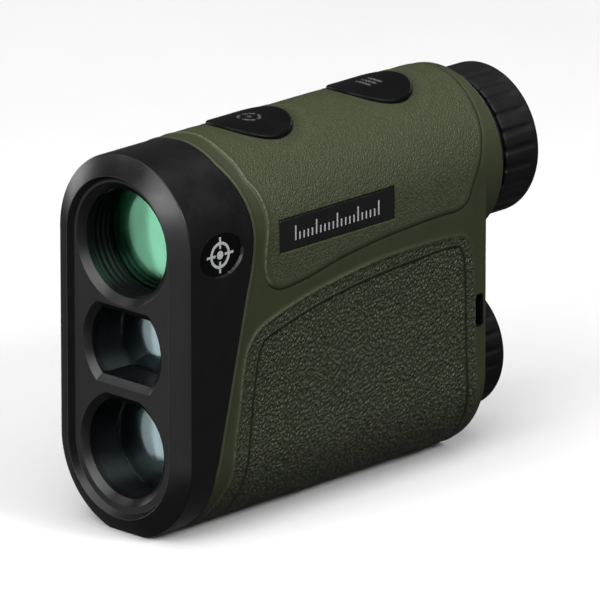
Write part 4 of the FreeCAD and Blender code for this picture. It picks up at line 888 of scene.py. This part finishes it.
def rear_face(build, rim):
    """The flat face below the tube, round the cap's hole and the lanyard slot."""
    x, z = np.array(build.points)[rim][:, (0, 2)].T
    tube = BODY_RADIUS + MARGIN_LEVEL
    outline = [index for index, reach in zip(rim, np.hypot(x, z - AXIS_UP)) if reach > tube]
    first, last = (np.array(build.points[outline[end]]) for end in (0, -1))
    start_angle, end_angle = (math.atan2(point[2] - AXIS_UP, point[0]) for point in (last, first))
    if start_angle > end_angle:
        start_angle -= 4 * QUARTER
    angles = np.linspace(start_angle, end_angle, 60)[1:-1]
    bridge = build.ring([(tube * math.cos(a), GRIP_END, AXIS_UP + tube * math.sin(a)) for a in angles])
    hole = [build.circle(station, CAP_HEIGHT, CAP_RADIUS + CAP_GAP, 96)
            for station in (GRIP_END, GRIP_END - ARMOUR_WALL)]
    build.bridge(*hole)
    sides = (SLOT.height - SLOT.half_tall, SLOT.height + SLOT.half_tall)
    corners = ((SLOT_FLOOR, sides[0]), (SLOT_REAR, sides[0]), (SLOT_REAR, sides[1]), (SLOT_FLOOR, sides[1]))
    channel = [build.ring([(x, station, z) for x, z in corners])
               for station in (GRIP_END, GRIP_END - SLOT_CHANNEL)]
    build.bridge(*channel)
    build.fill(outline + bridge, hole[0], channel[0])


def tube_end(build):
    """The end of the tube, its rounded edge and the hole for the eyepiece collar."""
    tube = BODY_RADIUS + MARGIN_LEVEL
    path = rounded([(GRIP_END - REAR_ROUND, tube, 0), (TUBE_END, tube, REAR_ROUND),
                    (TUBE_END, COLLAR_HOLE, 0.15), (TUBE_END - ARMOUR_WALL, COLLAR_HOLE, 0)])
    lower = np.linspace(-QUARTER, -3 * QUARTER, 150)
    upper = np.linspace(QUARTER, -QUARTER, 150)
    for sweep, skip in ((lower, 0), (upper, 1)):
        rings = [build.ring([(-radius * math.sin(a), station, AXIS_UP + radius * math.cos(a))
                             for a in sweep]) for station, radius in path[skip:]]
        build.loft(rings, closed=False)


def slot_liner():
    """The black walls of the lanyard slot: in at the side, round the corner bar and out at the rear."""
    build = Builder()
    front, back = SLOT.station - SLOT.half_long, SLOT.station + SLOT.half_long
    rim = BODY_RADIUS + MARGIN_LEVEL - LINER_GAP
    end = GRIP_END - SLOT_CHANNEL + LINER_OVERLAP
    outline = [(rim, front), (SLOT_FLOOR, front), (SLOT_FLOOR, end), (SLOT_REAR, end),
               (SLOT_REAR, back), (rim, back)]
    low, high = SLOT.height - SLOT.half_tall, SLOT.height + SLOT.half_tall
    rings = [build.ring([(x, station, z) for x, station in outline]) for z in (low, high)]
    for side in (0, 1, 3, 4):
        build.faces.append([rings[0][side], rings[0][side + 1], rings[1][side + 1], rings[1][side]])
    for ring in rings:
        build.faces.append([ring[0], ring[1], ring[4], ring[5]])
        build.faces.append([ring[1], ring[2], ring[3], ring[4]])
    build.finish("slot_liner", "chassis_plastic", "housing", ("armour",))


# ---- bezel, badges, plates

# the sighting mark on the badges: radius and half width of its rings, middle and half length of its ticks
SIGHT_RINGS = ((2.35, 0.28), (0.42, 0.42))
SIGHT_TICKS = ((3.12, 0.45), (1.65, 0.38))
SIGHT_TICK_HALF_WIDE = 0.24

# ticks of the scale on the plates, by half their height
LONG_TICK = 1.45
SHORT_TICK = 0.75
TICK_SPACING = 1.15
TICK_HALF_WIDE = 0.16


def cut_circle_outline(radius, top, bottom, corner=0.7, steps=6):
    """Points round a circle with one or two flats and rounded corners, from the right and upwards."""
    reach = radius - corner
    top_x = math.sqrt(reach ** 2 - (top - corner) ** 2)
    top_angle = math.atan2(top - corner, top_x)
    if bottom is None:
        arcs = [(0, 0, radius, -QUARTER, top_angle, 40)]
    else:
        bottom_x = math.sqrt(reach ** 2 - (bottom - corner) ** 2)
        bottom_angle = math.atan2(corner - bottom, bottom_x)
        arcs = [(bottom_x, corner - bottom, corner, -QUARTER, bottom_angle, steps),
                (0, 0, radius, bottom_angle, top_angle, 30)]
    arcs.append((top_x, top - corner, corner, top_angle, QUARTER, steps))
    right = []
    for x, z, r, start, end, count in arcs:
        right += [(x + r * math.cos(a), z + r * math.sin(a)) for a in np.linspace(start, end, count)[:-1]]
    right.append((top_x, top))
    flat = [(x, top) for x in np.linspace(top_x, 0, 8)[1:]]
    half = right + flat
    if bottom is not None:
        half = [(x, -bottom) for x in np.linspace(0, half[0][0], 8)[:-1]] + half
    mirrored = [(-x, z) for x, z in half[-2:0:-1]]
    return half + mirrored


def opening(build, height, outline, path):
    """Rings through a hole in the bezel; returns the first and the last."""
    rings = []
    for grow, station in path:
        rings.append(build.ring([(x, station, height + z) for x, z in outline(grow)]))
    build.loft(rings)
    return rings[0], rings[-1]


def bezel():
    """The front rim, bevel, cheeks and rear edge, and the recessed face with its three openings."""
    build = Builder()
    rows = girth_rows(0.45, [FOOT_ARC])[:-1]
    path = rounded([(FACE_STATION, FACE_RADIUS - 0.3, 0), (FACE_STATION, FACE_RADIUS, 0.1),
                    (0.0, CREST_RADIUS, 0.16), (BEVEL_DEPTH, BEZEL_RADIUS, 0.3), (4.0, BEZEL_RADIUS, 0)])[:-1]
    rings = []
    for station, radius in path:
        x, z = section(rows, radius, BEZEL_FLOOR)[:2]
        rings.append(build.ring(np.stack([x, np.full(x.shape, station), z], 1)))
    rings += bezel_cheeks(build, rows, path[-1][0])
    z = section(rows, BEZEL_RADIUS, BEZEL_FLOOR)[1]
    edge = seam(z)
    for inset, back in ((0.05, 0.05), (0.2, 0.0), (BEZEL_RADIUS - BEZEL_INNER, 0.0)):
        x, z = section(rows, BEZEL_RADIUS - inset, BEZEL_FLOOR + min(inset, 1.0))[:2]
        rings.append(build.ring(np.stack([x, edge - back, z], 1)))
    x, z = section(rows, BEZEL_INNER, BEZEL_FLOOR + 1.0)[:2]
    rings.append(build.ring(np.stack([x, np.full(x.shape, FACE_BACK), z], 1)))
    build.loft(rings)
    funnel = rounded([(MOUTH_CHAMFER + 0.2, FACE_STATION, 0), (MOUTH_CHAMFER, FACE_STATION, 0.12),
                      (0, MOUTH_CHAMFER_END, 0.2), (0, FACE_BACK, 0)])
    chamfer = rounded([(CHAMFER + 0.15, FACE_STATION, 0), (CHAMFER, FACE_STATION, 0.12),
                       (0, FACE_STATION + CHAMFER_DEPTH, 0.15), (0, FACE_BACK, 0)])
    openings = [opening(build, AXIS_UP, mouth_outline, funnel),
                opening(build, EMITTER_HEIGHT, emitter_outline, chamfer),
                opening(build, AXIS_LOW, receiver_outline, chamfer)]
    build.fill(rings[0], *[front for front, back in openings])
    build.fill(rings[-1], *[back for front, back in openings])
    face = np.abs(np.array(build.points)[:, 1] - FACE_STATION) < 0.01
    build.finish("bezel", "bezel_plastic", "housing", ("front_bezel",), sharp=32, layers={"face": face})


def mouth_outline(grow):
    radius = MOUTH_RADIUS + grow
    return [(radius * math.cos(a), radius * math.sin(a)) for a in full_turn(159)]


def emitter_outline(grow):
    return cut_circle_outline(EMITTER_RADIUS + grow, EMITTER_FLAT + grow, EMITTER_FLAT + grow)


def receiver_outline(grow):
    return cut_circle_outline(RECEIVER_RADIUS + grow, RECEIVER_FLAT + grow, None)


def bezel_cheeks(build, rows, start):
    """The outer surface behind the bevel, with an oval badge seat in each side."""
    columns = 46
    z = section(rows, BEZEL_RADIUS, BEZEL_FLOOR)[1]
    edge = seam(z) - 0.2
    station = start + (edge - start)[:, None] * np.linspace(0, 1, columns)[None, 1:]
    arc = np.repeat(rows[:, None], columns - 1, 1)
    side = np.sign(arc)
    along = station - BADGE.station
    across = np.abs(arc) - arc_of_height(BADGE.height)
    reach = np.hypot(along / (BADGE.half_long + SEAT_GAP), across / (BADGE.half_tall + SEAT_GAP))
    near = np.abs(reach - 1) * BADGE.half_tall < 0.24
    scale = np.where(near, 1 / np.maximum(reach, 1e-6), 1)
    station = BADGE.station + along * scale
    arc = np.where(near, side * (arc_of_height(BADGE.height) + across * scale), arc)
    inside = ~near & (reach < 1)
    x, z = section(arc.ravel(), BEZEL_RADIUS, BEZEL_FLOOR)[:2]
    x = np.where(inside.ravel(), side.ravel() * BADGE_SEAT, x).reshape(arc.shape)
    z = z.reshape(arc.shape)
    return [build.ring(np.stack([x[:, k], station[:, k], z[:, k]], 1)) for k in range(columns - 1)]


def side_plate(name, slot, side, path, outline):
    """A plate in the side of the body, from a path of (x, inset) and its outline at each inset."""
    build = Builder()
    rings = [build.ring([(side * x, station, height) for station, height in outline(inset)])
             for x, inset in path]
    build.loft(rings)
    build.fill(rings[-1])
    build.finish(name + "_plate", slot, "housing", (name,), sharp=40)


def badge_oval(half_long, half_tall, count):
    """Points of an oval round the badge's middle, as (station, height)."""
    return [(BADGE.station + half_long * math.cos(a), BADGE.height + half_tall * math.sin(a))
            for a in full_turn(count)]


def badge_outline(inset):
    return badge_oval(BADGE.half_long - inset, BADGE.half_tall - inset, 72)


def badges():
    """Glossy oval plates with a plain sighting mark: ring, four broken ticks and a centre dot."""
    path = rounded([(BADGE_SEAT + 0.02, 0, 0), (BADGE_FACE, 0, 0.15), (BADGE_FACE, 0.5, 0)])
    for side, name in ((1, "left_badge"), (-1, "right_badge")):
        side_plate(name, "badge_plastic", side, path, badge_outline)
        marks = Builder()
        base, top = side * (BADGE_FACE - MARK_SINK), side * (BADGE_FACE + MARK_PROUD)
        for radius, half_width in SIGHT_RINGS:
            ring_mark(marks, base, top, radius, half_width)
        for turn in range(4):
            angle = turn * QUARTER
            for middle, half_long in SIGHT_TICKS:
                bar_mark(marks, base, top, BADGE.station + middle * math.cos(angle),
                         BADGE.height + middle * math.sin(angle), half_long, SIGHT_TICK_HALF_WIDE, angle)
        marks.finish(name + "_mark", "badge_plastic", "housing", (name,), sharp=40, material=LIGHT_MARK)


def ring_mark(build, base, top, radius, half_width, count=48):
    """A flat printed ring or, when as wide as its radius, a dot, on the side of the body."""
    edges = [radius + half_width] if half_width >= radius else [radius + half_width, radius - half_width]
    rings = [[build.ring([(x, *point) for point in badge_oval(edge, edge, count)]) for x in (base, top)]
             for edge in edges]
    for pair in rings:
        build.bridge(*pair)
    if len(rings) == 2:
        build.bridge(rings[0][1], rings[1][1])
        build.bridge(rings[0][0], rings[1][0])
    else:
        build.fill(rings[0][0])
        build.fill(rings[0][1])


def bar_mark(build, base, top, station, height, half_long, half_wide, angle=0.0):
    """A flat bar on the side of the body."""
    cos, sin = math.cos(angle), math.sin(angle)
    corners = [(a * half_long, b * half_wide) for a, b in ((-1, -1), (1, -1), (1, 1), (-1, 1))]
    rings = [build.ring([(x, station + a * cos - b * sin, height + a * sin + b * cos) for a, b in corners])
             for x in (base, top)]
    build.bridge(*rings)
    build.faces += [list(reversed(rings[0])), list(rings[1])]


def plates():
    """Plain black plates with a row of range-scale ticks."""
    path = rounded([(PLATE_SEAT + 0.02, 0, 0), (PLATE_FACE, 0, 0.22), (PLATE_FACE, 0.7, 0)])
    for side, name in ((1, "left_nameplate"), (-1, "right_nameplate")):
        side_plate(name, "nameplate_plastic", side, path, plate_outline)
        marks = Builder()
        base, top = side * (PLATE_FACE - MARK_SINK), side * (PLATE_FACE + MARK_PROUD)
        for tick in range(-10, 11):
            tall = LONG_TICK if tick % 5 == 0 else SHORT_TICK
            bar_mark(marks, base, top, PLATE.station + tick * TICK_SPACING, PLATE.height - LONG_TICK + tall,
                     TICK_HALF_WIDE, tall)
        marks.finish(name + "_scale", "nameplate_plastic", "housing", (name,), sharp=40, material=LIGHT_MARK)


def plate_outline(inset):
    outline = rounded_rectangle(PLATE.half_long - inset, PLATE.half_tall - inset, max(0.5 - inset, 0.05))
    return [(PLATE.station + a, PLATE.height + b) for a, b in outline]


def rounded_rectangle(half_long, half_tall, corner, steps=5):
    points = []
    for quarter, (a, b) in enumerate(((1, 1), (-1, 1), (-1, -1), (1, -1))):
        for angle in np.linspace(quarter * QUARTER, (quarter + 1) * QUARTER, steps):
            points.append((a * (half_long - corner) + corner * math.cos(angle),
                           b * (half_tall - corner) + corner * math.sin(angle)))
    return points


# ---- lenses

# station is that of the front rim; top and bottom are the distances of the flats from the axis
Lens = namedtuple("Lens", "name node body height station thick radius top bottom front_sag back_sag material")
LENSES = (
    Lens("objective_lens", "objective_crown_lens", "housing", AXIS_UP, 8.6, 3.0, 11.45, None, None,
         1.3, 0.65, "green_coated_glass"),
    Lens("emitter_window_lens", "emitter_lens", "housing", EMITTER_HEIGHT, 10.0, 1.6, EMITTER_RADIUS,
         EMITTER_FLAT, EMITTER_FLAT, 1.5, 0.0, "blue_coated_glass"),
    Lens("receiver_window_lens", "receiver_lens", "housing", AXIS_LOW, 10.0, 1.6, RECEIVER_RADIUS,
         RECEIVER_FLAT, None, 1.5, 0.0, "blue_coated_glass"),
    Lens("rear_eye_lens", "eye_lens", "ocular", AXIS_UP, 92.3, 2.0, 9.55, None, None, 0.9, 0.0, "eye_glass"),
)


def sagitta(reach, radius, sag):
    """How far a spherical face of this rim radius and sag stands proud of its rim."""
    if sag == 0:
        return np.zeros(reach.shape)
    sphere = (radius ** 2 + sag ** 2) / (2 * sag)
    return np.sqrt(sphere ** 2 - reach ** 2) - math.sqrt(sphere ** 2 - radius ** 2)


def lens_outline(lens):
    """Edge of a lens as (x, z) points round its axis: a circle, or one cut by flats."""
    if lens.top is None:
        angles = full_turn(144)
        return lens.radius * np.stack([np.cos(angles), np.sin(angles)], 1)
    return np.array(cut_circle_outline(lens.radius, lens.top, lens.bottom, 0.05, 3))


def lenses():
    """Each lens with truly spherical faces, and how far each point lies from its axis."""
    shares = np.linspace(0.02, 1, 26)
    for lens in LENSES:
        build = Builder()
        outline = lens_outline(lens)
        levels = [(share, lens.front_sag, lens.station) for share in shares]
        levels += [(share, -lens.back_sag, lens.station + lens.thick) for share in shares[::-1]]
        rings = []
        radial = []
        for share, sag, rim in levels:
            x, z = (outline * share).T
            reach = np.hypot(x, z)
            proud = math.copysign(1, sag) * sagitta(reach, lens.radius, abs(sag))
            rings.append(build.ring(np.stack([x, rim - proud, lens.height + z], 1)))
            radial.append(reach / lens.radius)
        build.solid(rings)
        build.finish(lens.name, lens.material, lens.body, (lens.node,), sharp=40,
                     layers={"radial": np.concatenate(radial)})


# ---- buttons

BUTTON_EDGE = 0.32
BUTTON_SKIRT = 1.2
BUTTON_DISH = 0.22
MARK_RISE = 0.14
MARK_RING = 2.1
BAR_SPACING = 1.6
BAR_HALF_LONG = 1.7


def button_mark(name, along, across):
    """The plain moulded mark on a button, 0 to 1: a broken ring with a dot in front, three bars behind."""
    reach = np.hypot(along, across)
    if name == "front_button":
        gap = np.abs(np.mod(np.arctan2(across, along) + QUARTER / 2, QUARTER) - QUARTER / 2) * reach
        ring = smoothstep(0.4, 0.2, np.abs(reach - MARK_RING)) * smoothstep(0.25, 0.45, gap)
        return np.maximum(ring, smoothstep(0.65, 0.45, reach))
    bars = np.zeros(along.shape)
    for place in (-BAR_SPACING, 0.0, BAR_SPACING):
        near = np.maximum(np.abs(along - place) - 0.1, 0)
        beside = np.maximum(np.abs(across) - BAR_HALF_LONG, 0)
        bars = np.maximum(bars, smoothstep(0.4, 0.2, np.hypot(near, beside)))
    return bars


def buttons():
    """Round caps that follow the curve of the tube, slightly dished, with a rounded edge and a well below."""
    angle = full_turn(144)
    flat = BUTTON_RADIUS - BUTTON_EDGE
    # (reach, level below the crown), then (reach, height) for the underside
    top = [(reach, 0.0) for reach in np.linspace(0.2, flat, 52)]
    top += [(flat + BUTTON_EDGE * math.sin(a), BUTTON_EDGE * (1 - math.cos(a)))
            for a in np.linspace(0, QUARTER, 7)[1:]]
    top.append((BUTTON_RADIUS, BUTTON_SKIRT))
    under = ((BUTTON_RADIUS, BUTTON_FLOOR), (WELL_RADIUS, BUTTON_FLOOR), (WELL_RADIUS, WELL_ROOF))
    for name, centre in BUTTON_STATIONS.items():
        build = Builder()
        rings = []
        marks = []
        for reach, level in top:
            x, along = reach * np.sin(angle), reach * np.cos(angle)
            marks.append(button_mark(name, along, x))
            dish = BUTTON_DISH * (1 - smoothstep(0, flat, reach))
            crown = AXIS_UP + np.sqrt(BUTTON_TOP_RADIUS ** 2 - x ** 2)
            z = crown - level - dish + MARK_RISE * marks[-1]
            rings.append(build.ring(np.stack([x, centre + along, z], 1)))
        for reach, height in under:
            rings.append(build.ring([(reach * math.sin(a), centre + reach * math.cos(a), height)
                                     for a in angle]))
            marks.append(np.zeros(angle.shape))
        build.solid(rings)
        build.finish(name + "_cap", "button_rubber", name, (name,), sharp=60,
                     layers={"mark": np.concatenate(marks)})


# ---- eyepiece and battery cap

# across one rib and its groove, from -0.5 to 0.5, closest where the groove's wall is steep
RIB_HALF = (0.06, 0.12, 0.16, 0.2, 0.25, 0.31, 0.4)
RIB_STEPS = (-0.5, *[-step for step in reversed(RIB_HALF)], 0.0, *RIB_HALF)
RIB_DEPTH = 0.33
RIB_NOTCH = 0.3
EYECUP_STEPS = (1.5, 4.0, 5.9, 6.6, 7.3, 7.9, 8.5)
CAP_STEPS = (1.5, 5.0, 8.0, 8.8, 9.6, 10.3)


def ribbed(build, height, path, radius, front, back):
    """Turns a (station, radius) path round an axis, with round grooves that fade out towards the back."""
    fractions = np.tile(RIB_STEPS, RIB_COUNT)
    angles = (np.repeat(np.arange(RIB_COUNT), len(RIB_STEPS)) + fractions) * 4 * QUARTER / RIB_COUNT
    groove = smoothstep(0.3, 0.04, np.abs(fractions))
    rings = []
    for station, reach in path:
        on_rim = smoothstep(radius - 1.2, radius - 0.55, reach)
        depth = RIB_DEPTH * on_rim * smoothstep(back - 0.2, back - 3.4, station)
        notch = RIB_NOTCH * on_rim * smoothstep(front + 1.3, front, station)
        r = reach - depth * groove
        s = station + notch * groove
        rings.append(build.ring(np.stack([r * np.sin(angles), s, height + r * np.cos(angles)], 1)))
    return rings


def eyecup():
    """The ribbed ring round the diopter ring, with a soft rear lip."""
    build = Builder()
    path = rounded([(RING_END, RING_RADIUS, 0), (EYECUP_START, RING_RADIUS, 0.1),
                    (EYECUP_START, EYECUP_RADIUS, 0.4),
                    *[(EYECUP_START + step, EYECUP_RADIUS, 0) for step in EYECUP_STEPS],
                    (EYECUP_END, EYECUP_RADIUS, 0.5), (EYECUP_END, EYECUP_LIP, 0.6),
                    (RING_END, EYECUP_LIP, 0.3), (RING_END, RING_RADIUS - 0.2, 0)])
    rings = ribbed(build, AXIS_UP, path, EYECUP_RADIUS, EYECUP_START, EYECUP_END)
    build.loft(rings + rings[:1])
    build.finish("eyecup_ring", "eyecup_rubber", "diopter_ring", ("eyecup",), sharp=45)


def battery_cap():
    """The ribbed cap with its thread sleeve in front and a shallow dish in its end."""
    build = Builder()
    path = rounded([(CAP_FLOOR, CAP_MIDDLE, 0), (CAP_FLOOR, CAP_THREAD_BORE, 0.1),
                    (CAP_THREAD_START, CAP_THREAD_BORE, 0.1), (CAP_THREAD_START, CAP_THREAD_RADIUS, 0.3),
                    (CAP_SKIRT_FLOOR, CAP_THREAD_RADIUS, 0.1), (CAP_SKIRT_FLOOR, CAP_SKIRT_BORE, 0.1),
                    (CAP_START, CAP_SKIRT_BORE, 0.1), (CAP_START, CAP_RADIUS, 0.35),
                    *[(CAP_START + step, CAP_RADIUS, 0) for step in CAP_STEPS],
                    (CAP_END - CAP_BEVEL, CAP_RADIUS, 0.4), (CAP_END, CAP_RADIUS - CAP_BEVEL, 0.4),
                    (CAP_END, CAP_DISH_RADIUS, 0.15),
                    (CAP_END - CAP_DISH_DEPTH, CAP_DISH_RADIUS - CAP_DISH_DEPTH, 0.15),
                    (CAP_END - CAP_DISH_DEPTH, CAP_MIDDLE, 0)])
    rings = ribbed(build, CAP_HEIGHT, path, CAP_RADIUS, CAP_START, CAP_END - CAP_DISH_DEPTH)
    build.solid(rings)
    build.finish("ribbed_cap", "cap_plastic", "battery_cap", ("battery_cap",), sharp=45)


# ---- floor, light and camera

def floor_paper(shader):
    """Pale paper, hardly mottled."""
    mottled = shader.noise(60.0, 3.0)
    shader.link("Base Color", shader.ramp(mottled, (0.2, (0.92, 0.92, 0.92)), (0.8, (0.95, 0.95, 0.95))))
    shader.gloss(mottled, 0.8, 0.9)
    shader.set(Specular_IOR_Level=0.1)


def stage_floor():
    """A wide pale floor."""
    mesh = bpy.data.meshes.new("floor")
    corners = [(x * FLOOR_REACH, y * FLOOR_REACH, 0) for x, y in ((-1, -1), (1, -1), (1, 1), (-1, 1))]
    mesh.from_pydata(corners, [], [(0, 1, 2, 3)])
    mesh.materials.append(made_from(floor_paper, "floor_paper"))
    floor = bpy.data.objects.new("floor", mesh)
    bpy.context.scene.collection.objects.link(floor)
    floor.visible_diffuse = False
    floor.visible_glossy = False


CAMERA_AZIMUTH = 43.93
CAMERA_ELEVATION = 17.55
CAMERA_DISTANCE = 2.0
CAMERA_TARGET = Vector((0.00497, -0.006, 0.03827))
CAMERA_LENS = 621.24
LIT_POINT = Vector((0, 0, 0.04))
WORLD_STRENGTH = 0.08

# name, azimuth, elevation, distance, width, height, power
SOFTBOXES = (
    ("overhead", 60, 78, 1.6, 2.2, 2.2, 24),
    ("key", 12, 33, 1.2, 1.1, 0.9, 9),
    ("side_key", 98, 36, 1.1, 0.26, 0.26, 5.0),
    ("left_card", -54, 38, 1.0, 0.4, 0.35, 0.6),
    ("brow_card", -2, 19, 0.9, 0.3, 0.22, 1.1),
    ("lens_card", -31, -11, 0.9, 0.24, 0.5, 1.0),
    ("lens_fill", -44, -12, 0.95, 0.2, 0.46, 0.32),
    ("front_wide", 12, -8, 1.1, 0.6, 0.6, 0.7),
    ("rear_fill", 194, 3, 1.3, 0.5, 0.4, 2.0),
    ("far_fill", 275, 3, 1.3, 0.6, 0.4, 2.2),
)


def direction(azimuth, elevation):
    a, e = math.radians(azimuth), math.radians(elevation)
    return Vector((math.sin(a) * math.cos(e), -math.cos(a) * math.cos(e), math.sin(e)))


def aim(thing, azimuth, elevation, distance, target):
    """Puts a lamp or camera at a direction from the target, looking at it."""
    back = direction(azimuth, elevation)
    thing.location = target + back * distance
    thing.rotation_mode = "QUATERNION"
    thing.rotation_quaternion = (-back).to_track_quat("-Z", "Y")


def softbox(name, azimuth, elevation, distance, width, height, power):
    lamp = bpy.data.lights.new(name, "AREA")
    lamp.shape = "RECTANGLE"
    lamp.size = width
    lamp.size_y = height
    lamp.energy = power
    holder = bpy.data.objects.new(name, lamp)
    bpy.context.scene.collection.objects.link(holder)
    aim(holder, azimuth, elevation, distance, LIT_POINT)


def light_and_camera():
    for box in SOFTBOXES:
        softbox(*box)
    world = bpy.data.worlds.new("studio")
    world.use_nodes = True
    background = world.node_tree.nodes["Background"].inputs
    background["Color"].default_value = (1, 1, 1, 1)
    background["Strength"].default_value = WORLD_STRENGTH
    bpy.context.scene.world = world
    camera = bpy.data.objects.new("camera", bpy.data.cameras.new("camera"))
    bpy.context.scene.collection.objects.link(camera)
    aim(camera, CAMERA_AZIMUTH, CAMERA_ELEVATION, CAMERA_DISTANCE, CAMERA_TARGET)
    camera.data.lens = CAMERA_LENS
    camera.data.clip_start = 0.1
    camera.data.clip_end = 20
    bpy.context.scene.camera = camera
    bpy.context.scene.view_settings.view_transform = "Standard"


dress_part()
armour()
bezel()
lenses()
badges()
plates()
buttons()
eyecup()
battery_cap()
stage_floor()
light_and_camera()
